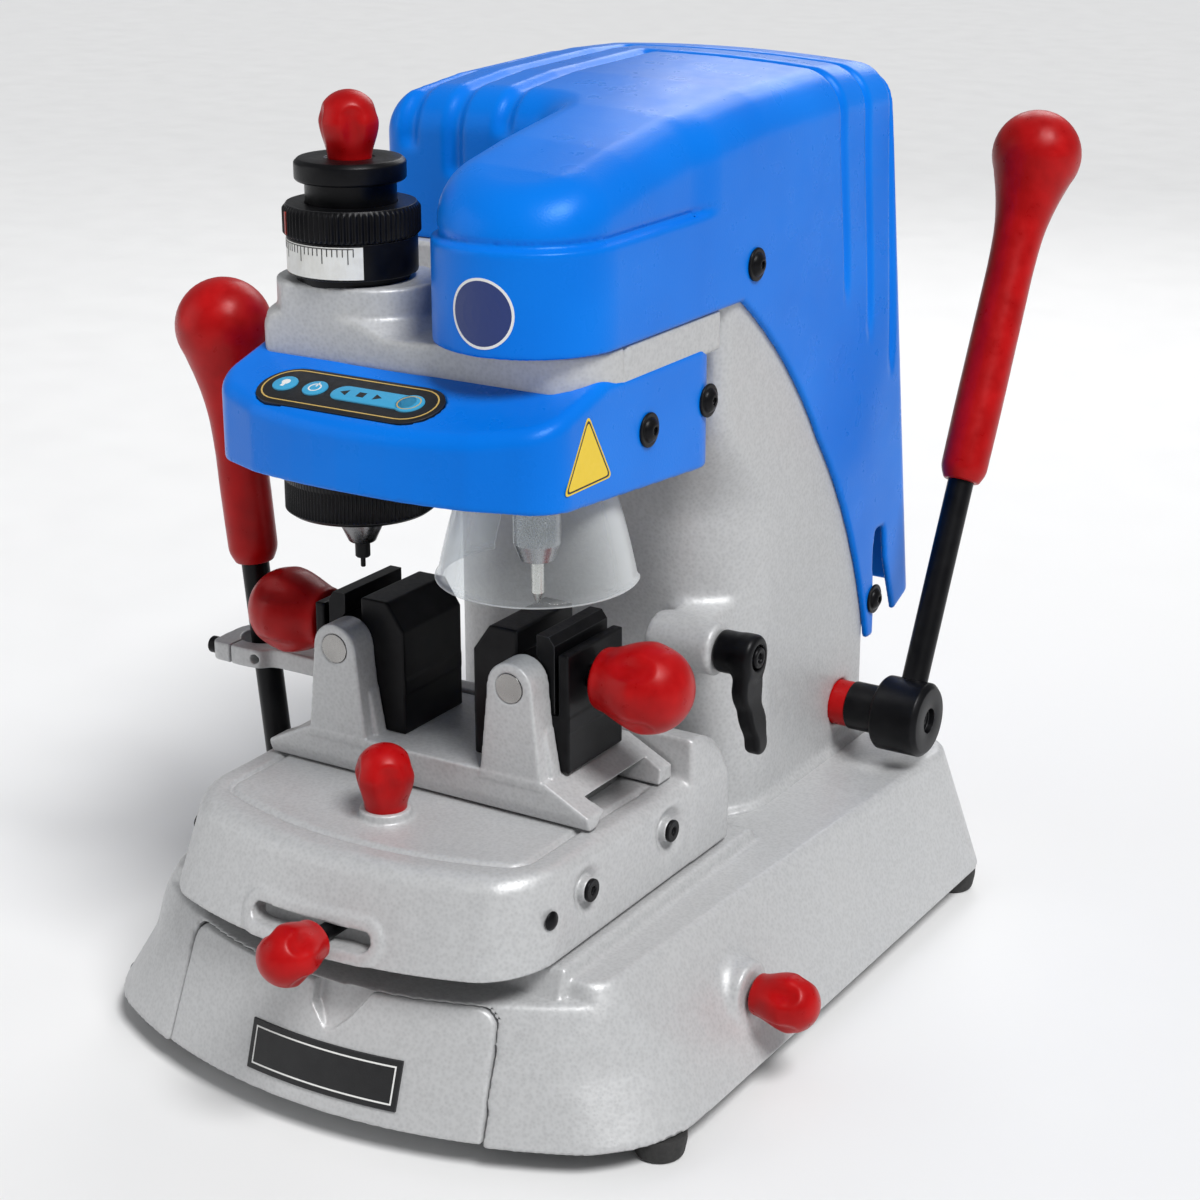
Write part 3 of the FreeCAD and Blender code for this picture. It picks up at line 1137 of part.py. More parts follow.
def height_lock_lever():
    """Clamping lever on the column lug; its arm hangs down."""
    hub = rod("lock_hub", "10", "X", ("lug_right + 0.3", "lug_right + 22"), ("lock_y", "lock_z"))
    stud = rod("lock_stud", "stem_radius", "X", ("lug_left + 10", "lug_right + 1"), ("lock_y", "lock_z"))
    arm = extruded("lock_arm", "YZ_Plane",
                   [("lock_y - 8", "lock_z"), ("lock_y + 8", "lock_z"), ("lock_y + 5", "lock_z - 44"),
                    ("lock_y + 2", "lock_z - 50"), ("lock_y - 2", "lock_z - 50"), ("lock_y - 4", "lock_z - 44")],
                   "lug_right + 12", "8")
    return subpart(fuse("lock_lever", hub, stud, arm), "height_lock_lever")


# ---- build and export -------------------------------------------------------------------------

BUILDERS = (
    base_casting, rubber_feet, column_casting, y_guide_rails, column_guide_block, lever_bushes,
    lever_socket, power_inlet, power_switch, side_lock_knob, drawer_front, drawer_tray, nameplate,
    carriage_skirt, y_bearing_blocks, x_dovetail_rail, skirt_screws, x_lock_knob, slot_knob,
    vise_slide_casting, cross_pins, vise_blocks, outer_jaws, clamp_knobs, lever_ring, lever_gimbal,
    left_lever, head_casting, lower_cover, upper_hood, control_panel, cover_screws, spindle_parts,
    drive_parts, tracer_parts, cutter_shield, guide_rods, head_rack, pinion_shaft, right_lever,
    height_lock_lever,
)


def check_document():
    """Stop if any object failed or any finished piece is not a valid solid."""
    for thing in DOC.Objects:
        if "Invalid" in thing.State or "Error" in thing.State:
            raise RuntimeError("%s failed: %s" % (thing.Name, thing.State))
    for piece in SUBPARTS:
        if piece.Shape.isNull() or not piece.Shape.isValid() or not piece.Shape.Solids:
            raise RuntimeError("%s has no valid solid" % piece.Label)


def main():
    fill_sheet()
    for builder in BUILDERS:
        builder()
    DOC.recompute()
    check_document()
    os.makedirs("parts", exist_ok=True)
    for piece in SUBPARTS:
        piece.Shape.exportStep("parts/%s.step" % piece.Label)


main()
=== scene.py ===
"""Looks of the key duplicating machine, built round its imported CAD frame.

Shapes are worked out in millimetres in the row frame (X right, Y back, Z up) and meshed in metres.
Cast and moulded pieces are distance fields turned into smooth closed meshes; round pieces are lathed.
"""
import json
import math

import bpy
import numpy as np
from mathutils import Matrix, Vector


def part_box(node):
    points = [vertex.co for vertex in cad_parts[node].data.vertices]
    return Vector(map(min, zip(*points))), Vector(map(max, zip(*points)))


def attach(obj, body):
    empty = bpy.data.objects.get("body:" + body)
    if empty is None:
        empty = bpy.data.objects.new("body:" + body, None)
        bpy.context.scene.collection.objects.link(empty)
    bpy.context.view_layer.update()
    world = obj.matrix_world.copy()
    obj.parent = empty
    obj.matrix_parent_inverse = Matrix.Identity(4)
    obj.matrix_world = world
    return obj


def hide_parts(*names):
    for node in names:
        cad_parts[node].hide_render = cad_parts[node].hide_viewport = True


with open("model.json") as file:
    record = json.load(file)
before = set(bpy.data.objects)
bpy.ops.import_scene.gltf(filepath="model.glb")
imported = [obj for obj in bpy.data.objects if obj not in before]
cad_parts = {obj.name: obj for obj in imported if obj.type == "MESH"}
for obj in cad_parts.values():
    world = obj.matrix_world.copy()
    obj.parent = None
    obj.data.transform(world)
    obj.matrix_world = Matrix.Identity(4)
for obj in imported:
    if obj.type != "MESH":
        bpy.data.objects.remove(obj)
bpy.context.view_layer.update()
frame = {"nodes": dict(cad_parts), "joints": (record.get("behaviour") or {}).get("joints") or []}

MM = 0.001
COARSE = 1.0


def mm_box(node):
    """Lowest and highest corner of a CAD node, in millimetres."""
    low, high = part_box(node)
    return np.array(low) / MM, np.array(high) / MM


def joint_place(name):
    """Where a hinge sits, in millimetres."""
    joint = [entry for entry in frame["joints"] if entry["name"] == name][0]
    return np.array(joint["pos_m"]) / MM


# ---- distance fields --------------------------------------------------------------------------

def beyond(a, b):
    return np.sqrt(np.maximum(a, 0) ** 2 + np.maximum(b, 0) ** 2)


def both(a, b, r=0.0):
    """Overlap of two fields, its new edge rounded by r."""
    if np.isscalar(r) and r == 0:
        return np.maximum(a, b)
    return np.minimum(np.maximum(a, b), -r) + beyond(a + r, b + r)


def either(a, b, r=0.0):
    """Union of two fields, its inner corner filled by r."""
    if r == 0:
        return np.minimum(a, b)
    return np.maximum(np.minimum(a, b), r) - beyond(r - a, r - b)


def less(a, b, r=0.0):
    return both(a, -b, r)


def ramp(v, start, end):
    """Smooth step from 0 at start to 1 at end."""
    t = np.clip((v - start) / (end - start), 0, 1)
    return t * t * (3 - 2 * t)


def dip(distance, width):
    """Bell of height 1 at distance 0 that ends at the width."""
    t = np.clip(distance / width, -1, 1)
    return (1 - t * t) ** 2


def slab(v, span):
    return np.abs(v - (span[0] + span[1]) / 2) - (span[1] - span[0]) / 2


def cube(x, y, z, xs, ys, zs, r=0.0):
    """Box between three spans with rounded edges."""
    a, b, c = slab(x, xs) + r, slab(y, ys) + r, slab(z, zs) + r
    outside = np.sqrt(np.maximum(a, 0) ** 2 + np.maximum(b, 0) ** 2 + np.maximum(c, 0) ** 2)
    return outside + np.minimum(np.maximum(np.maximum(a, b), c), 0) - r


def disc(u, v, centre, radius):
    return np.sqrt((u - centre[0]) ** 2 + (v - centre[1]) ** 2) - radius


def ball(x, y, z, centre, radius):
    return np.sqrt((x - centre[0]) ** 2 + (y - centre[1]) ** 2 + (z - centre[2]) ** 2) - radius


def bar(u, v, start, end, radius):
    """Flat bar with round ends between two points of a plane."""
    run_u, run_v = end[0] - start[0], end[1] - start[1]
    t = ((u - start[0]) * run_u + (v - start[1]) * run_v) / (run_u ** 2 + run_v ** 2)
    t = np.clip(t, 0, 1)
    return np.sqrt((u - start[0] - t * run_u) ** 2 + (v - start[1] - t * run_v) ** 2) - radius


def inset(points, r):
    """Polygon drawn in by r along each side; points run counter-clockwise."""
    result = []
    for number, point in enumerate(points):
        before = np.subtract(point, points[number - 1])
        after = np.subtract(points[(number + 1) % len(points)], point)
        before = before / np.hypot(*before)
        after = after / np.hypot(*after)
        normal_a = np.array([-before[1], before[0]])
        normal_b = np.array([-after[1], after[0]])
        result.append(np.array(point) + (normal_a + normal_b) * r / (1 + normal_a @ normal_b))
    return result


def poly(u, v, points, r=0.0):
    """Polygon field; its outward corners are rounded by r."""
    area = sum(a[0] * b[1] - b[0] * a[1] for a, b in zip(points, points[1:] + points[:1]))
    points = points if area > 0 else points[::-1]
    corners = inset(points, r) if r else points
    nearest = None
    inside = False
    for number, a in enumerate(corners):
        b = corners[(number + 1) % len(corners)]
        run = (b[0] - a[0], b[1] - a[1])
        t = np.clip(((u - a[0]) * run[0] + (v - a[1]) * run[1]) / (run[0] ** 2 + run[1] ** 2), 0, 1)
        square = (u - a[0] - t * run[0]) ** 2 + (v - a[1] - t * run[1]) ** 2
        nearest = square if nearest is None else np.minimum(nearest, square)
        if abs(run[1]) > 1e-9:
            level = (a[1] > v) != (b[1] > v)
            inside = inside ^ (level & (u < run[0] * (v - a[1]) / run[1] + a[0]))
    return np.where(inside, -1, 1) * np.sqrt(nearest) - r


def arc(start, through, end, count=10):
    """Points of a circle arc, both ends included."""
    (ax, ay), (bx, by), (cx, cy) = start, through, end
    twice = 2 * (ax * (by - cy) + bx * (cy - ay) + cx * (ay - by))
    squares = (ax * ax + ay * ay, bx * bx + by * by, cx * cx + cy * cy)
    ox = (squares[0] * (by - cy) + squares[1] * (cy - ay) + squares[2] * (ay - by)) / twice
    oy = (squares[0] * (cx - bx) + squares[1] * (ax - cx) + squares[2] * (bx - ax)) / twice
    radius = math.hypot(ax - ox, ay - oy)
    first, middle, last = (math.atan2(py - oy, px - ox) for px, py in (start, through, end))
    turn = (last - first) % (2 * math.pi)
    if (middle - first) % (2 * math.pi) > turn:
        turn -= 2 * math.pi
    steps = np.linspace(first, first + turn, count)
    return [(ox + radius * math.cos(t), oy + radius * math.sin(t)) for t in steps]


def bow(x, half, sag):
    """How far a bowed front falls back at x, and the cosine of its slope there."""
    radius = (half ** 2 + sag ** 2) / (2 * sag)
    height = np.sqrt(np.maximum(radius ** 2 - x ** 2, 1.0))
    return radius - height, height / radius


# ---- meshing ----------------------------------------------------------------------------------

def surface_nets(field, low, high, step):
    """Closed quad mesh of a field's zero surface, one vertex for each cell that it crosses."""
    counts = [int(math.ceil((high[axis] - low[axis]) / step)) + 3 for axis in range(3)]
    origin = np.array([low[axis] - step for axis in range(3)], np.float32)
    axes = [origin[axis] + step * np.arange(counts[axis], dtype=np.float32) for axis in range(3)]
    x, y, z = np.meshgrid(*axes, indexing="ij", sparse=True)
    values = np.broadcast_to(np.asarray(field(x, y, z), np.float32), counts).copy()
    for axis in range(3):
        rim = [slice(None)] * 3
        for end in (0, -1):
            rim[axis] = end
            values[tuple(rim)] = np.maximum(values[tuple(rim)], 0.3 * step)
    inside = values < 0
    count = np.zeros([n - 1 for n in counts], np.int8)
    for corner in np.ndindex(2, 2, 2):
        count += inside[tuple(slice(c, n - 1 + c) for c, n in zip(corner, counts))]
    cells = np.argwhere((count > 0) & (count < 8))
    index = np.full(count.shape, -1, np.int64)
    index[tuple(cells.T)] = np.arange(len(cells))
    total = np.zeros((len(cells), 3), np.float64)
    hits = np.zeros(len(cells))
    for axis in range(3):
        for side in np.ndindex(2, 2):
            start = np.insert(side, axis, 0)
            end = np.insert(side, axis, 1)
            a = values[tuple((cells + start).T)]
            b = values[tuple((cells + end).T)]
            crossing = (a < 0) != (b < 0)
            share = a[crossing] / (a[crossing] - b[crossing])
            spot = np.tile(start.astype(float), (len(share), 1))
            spot[:, axis] = share
            total[crossing] += spot
            hits[crossing] += 1
    points = origin + (cells + total / hits[:, None]) * step
    quads = []
    for axis in range(3):
        other = [(axis + 1) % 3, (axis + 2) % 3]
        here = [slice(1, n - 1) for n in counts]
        there = list(here)
        here[axis] = slice(0, counts[axis] - 1)
        there[axis] = slice(1, counts[axis])
        first, second = inside[tuple(here)], inside[tuple(there)]
        edges = np.argwhere(first != second)
        leaving = first[tuple(edges.T)]
        edges[:, other[0]] += 1
        edges[:, other[1]] += 1
        ring = []
        for back_a, back_b in ((1, 1), (0, 1), (0, 0), (1, 0)):
            cell = edges.copy()
            cell[:, other[0]] -= back_a
            cell[:, other[1]] -= back_b
            ring.append(index[tuple(cell.T)])
        ring = np.stack(ring, axis=1)
        quads.append(ring[leaving])
        quads.append(ring[~leaving][:, ::-1])
    return points, np.concatenate(quads)


def new_mesh(name, points, faces):
    """Mesh from millimetre points; faces is an array of quads or a list of index tuples."""
    mesh = bpy.data.meshes.new(name)
    points = np.asarray(points, float) * MM
    if isinstance(faces, np.ndarray):
        mesh.vertices.add(len(points))
        mesh.vertices.foreach_set("co", points.astype(np.float32).ravel())
        mesh.loops.add(faces.size)
        mesh.loops.foreach_set("vertex_index", faces.astype(np.int32).ravel())
        mesh.polygons.add(len(faces))
        mesh.polygons.foreach_set("loop_start", np.arange(0, faces.size, 4, dtype=np.int32))
        mesh.update(calc_edges=True)
    else:
        mesh.from_pydata([tuple(p) for p in points], [], faces)
    mesh.validate()
    return mesh


def add(name, points, faces, material, body, replaces=(), crisp=None):
    """Object in the scene that rides on a body; crisp is the angle above which edges stay sharp."""
    mesh = new_mesh(name, points, faces)
    mesh.polygons.foreach_set("use_smooth", np.ones(len(mesh.polygons), bool))
    if crisp is not None:
        mesh.set_sharp_from_angle(angle=math.radians(crisp))
    obj = bpy.data.objects.new(name, mesh)
    bpy.context.scene.collection.objects.link(obj)
    mesh.materials.append(material)
    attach(obj, body)
    if replaces:
        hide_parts(*replaces)
    return obj


def cast(name, field, low, high, step, material, body, replaces=()):
    """Piece whose shape is a distance field inside a box."""
    points, quads = surface_nets(field, low, high, step * COARSE)
    return add(name, points, quads, material, body, replaces)


def heading(axis):
    """Matrix that turns +Z to a direction."""
    return Vector((0, 0, 1)).rotation_difference(Vector(axis)).to_matrix().to_4x4()


def placed(points, matrix):
    """Points moved by a matrix whose translation is in millimetres."""
    turn = np.array(matrix.to_3x3())
    return np.asarray(points) @ turn.T + np.array(matrix.translation)


def softened(profile, r, count=4):
    """Polyline whose inner corners are rounded by up to r."""
    result = [profile[0]]
    for before, corner, after in zip(profile, profile[1:], profile[2:]):
        corner = np.array(corner, float)
        back = np.array(before) - corner
        on = np.array(after) - corner
        reach = min(r, 0.45 * np.hypot(*back), 0.45 * np.hypot(*on))
        start = corner + back / np.hypot(*back) * reach
        end = corner + on / np.hypot(*on) * reach
        for t in np.linspace(0, 1, count + 1):
            result.append(tuple((1 - t) ** 2 * start + 2 * t * (1 - t) * corner + t * t * end))
    result.append(profile[-1])
    return result


def lathe(profile, segments=96, knurl=None):
    """Solid of revolution about Z; the profile starts and ends on the axis or closes on itself.

    knurl is (low, high, teeth, depth): between two heights the radius is cut by fine teeth.
    """
    closed = profile[0][0] > 1e-6
    angles = np.linspace(0, 2 * math.pi, segments, endpoint=False)
    rows, points = [], []
    for radius, height in profile:
        if radius < 1e-6:
            rows.append([len(points)] * segments)
            points.append((0, 0, height))
            continue
        radii = np.full(segments, float(radius))
        if knurl and knurl[0] <= height <= knurl[1]:
            radii -= knurl[3] * (0.5 - 0.5 * np.cos(knurl[2] * angles))
        rows.append(list(range(len(points), len(points) + segments)))
        points.extend(zip(radii * np.cos(angles), radii * np.sin(angles), [height] * segments))
    pairs = list(zip(rows, rows[1:]))
    if closed:
        pairs.append((rows[-1], rows[0]))
    faces = []
    for low, high in pairs:
        for number in range(segments):
            on = (number + 1) % segments
            face = [low[number], low[on], high[on], high[number]]
            faces.append(tuple(dict.fromkeys(face)))
    return points, faces


def turned(name, profile, material, body, at=(0, 0, 0), axis=(0, 0, 1), segments=96, knurl=None,
           replaces=(), crisp=35):
    """Lathed piece along any axis."""
    points, faces = lathe(profile, segments, knurl)
    matrix = Matrix.Translation(at) @ heading(axis)
    return add(name, placed(points, matrix), faces, material, body, replaces, crisp)


# ---- materials --------------------------------------------------------------------------------

class Nodes:
    """Short way to write a material's node tree."""

    def __init__(self, name):
        self.material = bpy.data.materials.new(name)
        self.material.use_nodes = True
        self.tree = self.material.node_tree
        self.shader = self.tree.nodes["Principled BSDF"]
        self.place = self.add("ShaderNodeTexCoord").outputs["Object"]

    def add(self, kind, **settings):
        node = self.tree.nodes.new(kind)
        for key, value in settings.items():
            setattr(node, key, value)
        return node

    def feed(self, socket, source):
        """Put a value into a socket, or link another node's output to it."""
        if isinstance(source, bpy.types.NodeSocket):
            self.tree.links.new(source, socket)
        else:
            socket.default_value = source

    def noise(self, cell, detail=3.0, roughness=0.5, stretch=(1, 1, 1)):
        """Noise whose features are about cell millimetres across."""
        mapping = self.add("ShaderNodeMapping")
        self.feed(mapping.inputs["Vector"], self.place)
        mapping.inputs["Scale"].default_value = stretch
        node = self.add("ShaderNodeTexNoise")
        self.feed(node.inputs["Vector"], mapping.outputs["Vector"])
        node.inputs["Scale"].default_value = 1 / (cell * MM)
        node.inputs["Detail"].default_value = detail
        node.inputs["Roughness"].default_value = roughness
        return node.outputs["Fac"]

    def cells(self, size, feature="F1", smooth=0.4):
        node = self.add("ShaderNodeTexVoronoi", feature=feature)
        self.feed(node.inputs["Vector"], self.place)
        node.inputs["Scale"].default_value = 1 / (size * MM)
        if feature == "SMOOTH_F1":
            node.inputs["Smoothness"].default_value = smooth
        return node.outputs["Distance"]

    def sums(self, operation, a, b=0.0, clamp=False):
        node = self.add("ShaderNodeMath", operation=operation, use_clamp=clamp)
        self.feed(node.inputs[0], a)
        self.feed(node.inputs[1], b)
        return node.outputs[0]

    def spread(self, source, low, high, out_low=0.0, out_high=1.0):
        """Map one range of values to another, held at its ends."""
        node = self.add("ShaderNodeMapRange")
        self.feed(node.inputs["Value"], source)
        for socket, value in zip(("From Min", "From Max", "To Min", "To Max"), (low, high, out_low, out_high)):
            node.inputs[socket].default_value = value
        return node.outputs["Result"]

    def mix(self, factor, a, b):
        node = self.add("ShaderNodeMix", data_type="RGBA")
        self.feed(node.inputs["Factor"], factor)
        for socket, colour in ((node.inputs["A"], a), (node.inputs["B"], b)):
            self.feed(socket, (*colour, 1) if isinstance(colour, tuple) else colour)
        return node.outputs["Result"]

    def worn_edges(self, reach):
        """1 where an edge is near, 0 on open faces; reach is in millimetres."""
        bevel = self.add("ShaderNodeBevel", samples=4)
        bevel.inputs["Radius"].default_value = reach * MM
        geometry = self.add("ShaderNodeNewGeometry")
        dot = self.add("ShaderNodeVectorMath", operation="DOT_PRODUCT")
        self.feed(dot.inputs[0], bevel.outputs["Normal"])
        self.feed(dot.inputs[1], geometry.outputs["Normal"])
        return self.spread(dot.outputs["Value"], 0.985, 0.90)

    def relief(self, height, depth, after=None):
        """Bump of a depth in millimetres; returns its normal."""
        bump = self.add("ShaderNodeBump")
        bump.inputs["Strength"].default_value = 1.0
        bump.inputs["Distance"].default_value = depth * MM
        self.feed(bump.inputs["Height"], height)
        if after is not None:
            self.feed(bump.inputs["Normal"], after)
        return bump.outputs["Normal"]

    def rounded_normal(self, reach):
        """Normal that shades sharp edges as if they were rounded."""
        bevel = self.add("ShaderNodeBevel", samples=4)
        bevel.inputs["Radius"].default_value = reach * MM
        return bevel.outputs["Normal"]

    def finish(self, colour, roughness, normal=None, metallic=0.0, **more):
        inputs = self.shader.inputs
        self.feed(inputs["Base Color"], (*colour, 1) if isinstance(colour, tuple) else colour)
        self.feed(inputs["Roughness"], roughness)
        self.feed(inputs["Metallic"], metallic)
        if normal is not None:
            self.feed(inputs["Normal"], normal)
        for name, value in more.items():
            self.feed(inputs[name.replace("_", " ")], value)
        return self.material


def hammertone():
    """Grey enamel whose surface sets in small dimples, with painted shade darkening its hollows."""
    n = Nodes("hammertone_grey")
    dimples = n.cells(1.7, "SMOOTH_F1", 0.7)
    flow = n.noise(3.4, 2.0)
    height = n.sums("ADD", dimples, n.sums("MULTIPLY", flow, 0.7))
    # painted shade: the grey is darker where the dimples sink, as shade would fall in them
    dimple_shade = n.spread(height, 0.35, 1.05)
    cloud = n.noise(70, 3.0)
    base = n.mix(dimple_shade, (0.45, 0.455, 0.46), (0.54, 0.545, 0.55))
    base = n.mix(n.spread(cloud, 0.3, 0.75, 0.0, 0.20), base, (0.60, 0.60, 0.595))
    base = n.mix(n.sums("MULTIPLY", n.worn_edges(0.8), 0.3), base, (0.66, 0.66, 0.65))
    normal = n.relief(height, 0.075, n.relief(n.noise(0.7, 2.0), 0.02))
    return n.finish(base, n.spread(n.noise(9, 2.0), 0.3, 0.7, 0.38, 0.50), normal, 0.20,
                    Coat_Weight=0.12, Coat_Roughness=0.30)


def blue_moulding():
    """Azure plastic with a fine leather grain."""
    n = Nodes("azure_moulding")
    grain = n.cells(0.9, "SMOOTH_F1", 0.5)
    cloud = n.noise(90, 2.0)
    base = n.mix(n.spread(cloud, 0.3, 0.7), (0.001, 0.160, 0.700), (0.002, 0.195, 0.800))
    base = n.mix(n.sums("MULTIPLY", n.worn_edges(1.2), 0.20), base, (0.03, 0.33, 0.90))
    rough = n.spread(n.noise(14, 3.0), 0.3, 0.7, 0.26, 0.34)
    normal = n.relief(grain, 0.035, n.relief(n.noise(35, 1.0), 0.25))
    return n.finish(base, rough, normal, 0.0, Specular_IOR_Level=0.24,
                    Specular_Tint=(0.35, 0.62, 1.0, 1))


def red_moulding():
    """Satin red plastic, faintly orange-peeled and duller where hands rub it."""
    n = Nodes("satin_red")
    cloud = n.noise(12, 3.0)
    base = n.mix(n.spread(cloud, 0.3, 0.7), (0.34, 0.002, 0.003), (0.46, 0.004, 0.005))
    rough = n.spread(n.noise(6, 3.0), 0.3, 0.7, 0.27, 0.42)
    normal = n.relief(n.noise(0.7, 2.0), 0.025, n.relief(n.noise(7, 1.0), 0.10))
    return n.finish(base, rough, normal, 0.0, Specular_IOR_Level=0.28,
                    Specular_Tint=(1.0, 0.62, 0.62, 1))


def black_oxide():
    """Blackened steel with grinding marks and edges rubbed brighter."""
    n = Nodes("black_oxide_steel")
    marks = n.noise(0.35, 3.0, 0.6, (0.12, 1, 1))
    cloud = n.noise(11, 3.0)
    base = n.mix(n.spread(cloud, 0.3, 0.75), (0.002, 0.002, 0.003), (0.008, 0.008, 0.009))
    base = n.mix(n.sums("MULTIPLY", n.worn_edges(0.5), 0.4), base, (0.22, 0.22, 0.23))
    rough = n.spread(marks, 0.3, 0.7, 0.28, 0.46)
    normal = n.relief(marks, 0.02, n.rounded_normal(0.5))
    return n.finish(base, rough, normal, 0.3, Specular_IOR_Level=0.22)


def black_moulding():
    """Fine-grained black plastic."""
    n = Nodes("black_moulding")
    base = n.mix(n.noise(8, 3.0), (0.004, 0.004, 0.005), (0.014, 0.014, 0.015))
    base = n.mix(n.sums("MULTIPLY", n.worn_edges(0.5), 0.3), base, (0.10, 0.10, 0.11))
    normal = n.relief(n.cells(0.5), 0.03, n.rounded_normal(0.5))
    return n.finish(base, n.spread(n.noise(5, 2.0), 0.3, 0.7, 0.38, 0.52), normal)


def turned_steel(name, tint, axis=2, centre=(0, 0, 0), pitch=0.35, mirrored=False):
    """Steel with concentric tool marks round an axis through a centre in millimetres.

    When mirrored, the marks also run round the centre's mirror image in X.
    """
    n = Nodes(name)
    folded = n.add("ShaderNodeVectorMath", operation="ABSOLUTE")
    n.feed(folded.inputs[0], n.place)
    shift = n.add("ShaderNodeVectorMath", operation="SUBTRACT")
    n.feed(shift.inputs[0], folded.outputs[0] if mirrored else n.place)
    shift.inputs[1].default_value = [value * MM for value in centre]
    flat = n.add("ShaderNodeVectorMath", operation="MULTIPLY")
    n.feed(flat.inputs[0], shift.outputs[0])
    flat.inputs[1].default_value = [0.02 if number == axis else 1 for number in range(3)]
    length = n.add("ShaderNodeVectorMath", operation="LENGTH")
    n.feed(length.inputs[0], flat.outputs[0])
    along = n.add("ShaderNodeVectorMath", operation="DOT_PRODUCT")
    n.feed(along.inputs[0], shift.outputs[0])
    along.inputs[1].default_value = [1 if number == axis else 0 for number in range(3)]
    rings = n.sums("ADD", length.outputs["Value"], along.outputs["Value"])
    wave = n.sums("SINE", n.sums("MULTIPLY", rings, 2 * math.pi / (pitch * MM)))
    grit = n.noise(0.5, 3.0)
    stain = n.spread(n.noise(14, 4.0), 0.45, 0.75, 0.0, 0.45)
    base = n.mix(stain, tint, tuple(channel * 0.62 for channel in tint))
    base = n.mix(n.sums("MULTIPLY", n.worn_edges(0.4), 0.5), base, (0.80, 0.79, 0.77))
    height = n.sums("ADD", n.sums("MULTIPLY", wave, 0.3), grit)
    normal = n.relief(height, 0.012, n.rounded_normal(0.4))
    return n.finish(base, n.spread(grit, 0.3, 0.7, 0.20, 0.36), normal, 1.0)


def ground_steel(name, tint, stretch):
    """Steel with straight grinding lines; stretch is small along the lines."""
    n = Nodes(name)
    lines = n.noise(0.3, 4.0, 0.6, stretch)
    stain = n.spread(n.noise(16, 4.0), 0.45, 0.75, 0.0, 0.4)
    base = n.mix(stain, tint, tuple(channel * 0.65 for channel in tint))
    base = n.mix(n.sums("MULTIPLY", n.worn_edges(0.5), 0.5), base, (0.80, 0.79, 0.77))
    normal = n.relief(lines, 0.018, n.rounded_normal(0.5))
    return n.finish(base, n.spread(lines, 0.3, 0.7, 0.22, 0.40), normal, 1.0)


def label_stock():
    """Off-white printed band."""
    n = Nodes("label_band")
    base = n.mix(n.spread(n.noise(6, 4.0), 0.4, 0.8), (0.80, 0.80, 0.77), (0.70, 0.69, 0.65))
    return n.finish(base, n.spread(n.noise(3, 2.0), 0.3, 0.7, 0.35, 0.50), n.relief(n.noise(0.6, 2.0), 0.01))


def printed(name, colour, spread=0.06):
    """Ink or a thin sticker: its colour varies slightly and its sheen is broken by fine grain."""
    n = Nodes(name)
    darker = tuple(max(channel - spread * channel, 0) for channel in colour)
    base = n.mix(n.noise(3, 3.0), colour, darker)
    return n.finish(base, n.spread(n.noise(1.5, 2.0), 0.3, 0.7, 0.30, 0.46), n.relief(n.noise(0.5, 2.0), 0.01))


def rubber():
    n = Nodes("moulded_rubber")
    base = n.mix(n.noise(6, 4.0), (0.012, 0.012, 0.012), (0.035, 0.034, 0.033))
    return n.finish(base, n.spread(n.noise(2, 3.0), 0.3, 0.7, 0.62, 0.80), n.relief(n.cells(0.7), 0.05))


def clear_plastic():
    """Clear guard, faintly smoky and finely scratched, that still lets light through."""
    n = Nodes("clear_guard")
    scratches = n.spread(n.noise(0.6, 4.0, 0.7, (1, 1, 0.15)), 0.60, 0.72, 0.0, 0.10)
    normal = n.relief(n.noise(6, 2.0), 0.05)
    n.finish((0.96, 0.975, 0.98), n.sums("ADD", scratches, 0.06), normal, 0.0, IOR=1.35)
    see_through = n.add("ShaderNodeBsdfTransparent")
    see_through.inputs["Color"].default_value = (0.93, 0.95, 0.955, 1)
    rim = n.add("ShaderNodeLayerWeight")
    rim.inputs["Blend"].default_value = 0.35
    blend = n.add("ShaderNodeMixShader")
    n.feed(blend.inputs["Fac"], n.spread(rim.outputs["Facing"], 0.0, 1.0, 0.05, 0.70))
    n.feed(blend.inputs[1], see_through.outputs[0])
    n.feed(blend.inputs[2], n.shader.outputs[0])
    output = n.tree.nodes["Material Output"]
    n.feed(output.inputs["Surface"], blend.outputs[0])
    return n.material


GREY = hammertone()
BLUE = blue_moulding()
RED = red_moulding()
BLACK = black_oxide()
PLASTIC = black_moulding()
LABEL = label_stock()
RUBBER = rubber()
CLEAR = clear_plastic()
STEEL = (0.56, 0.55, 0.53)
WHITE_INK = printed("white_ink", (0.82, 0.82, 0.80))
GOLD_INK = printed("gold_ink", (0.62, 0.42, 0.12))
BLACK_INK = printed("black_ink", (0.012, 0.012, 0.014))
KEY_BLUE = printed("key_blue", (0.045, 0.36, 0.62))
NAVY = printed("navy_disc", (0.010, 0.030, 0.16))
YELLOW = printed("yellow_patch", (0.86, 0.60, 0.02))


# ---- base and drawer --------------------------------------------------------------------------

BASE_LOW, BASE_HIGH = mm_box("base_casting")
BASE_HALF = BASE_HIGH[0]
BASE_FLOOR = BASE_LOW[2]
BASE_ROOF = 78.0
BASE_LIP_HALF = 126.0
BASE_TAIL_HALF = 142.0
BASE_WALL = 9.0
STEP_FRONT = -171.0


def base_plan(x, y, z):
    """Sloping sides and bowed front of the base; its front corners get sharper towards the top."""
    climb = (z - BASE_FLOOR) / (BASE_ROOF - BASE_FLOOR)
    roof_half = BASE_LIP_HALF + (BASE_TAIL_HALF - BASE_LIP_HALF) * (y + 165) / 341
    half = BASE_HALF + (roof_half - BASE_HALF) * climb
    lean = 0.89
    side = (np.abs(x) - half) * lean
    fall, slope = bow(x, half, 51 - 4 * climb)
    front = ((BASE_LOW[1] + 20 * climb + fall) - y) * slope * 0.96
    back = (y - (183 - 7 * climb)) * 0.99
    corner = 28 - 21 * ramp(z, 40, 72) + 0 * x
    return both(both(side, front, corner), back, 24)


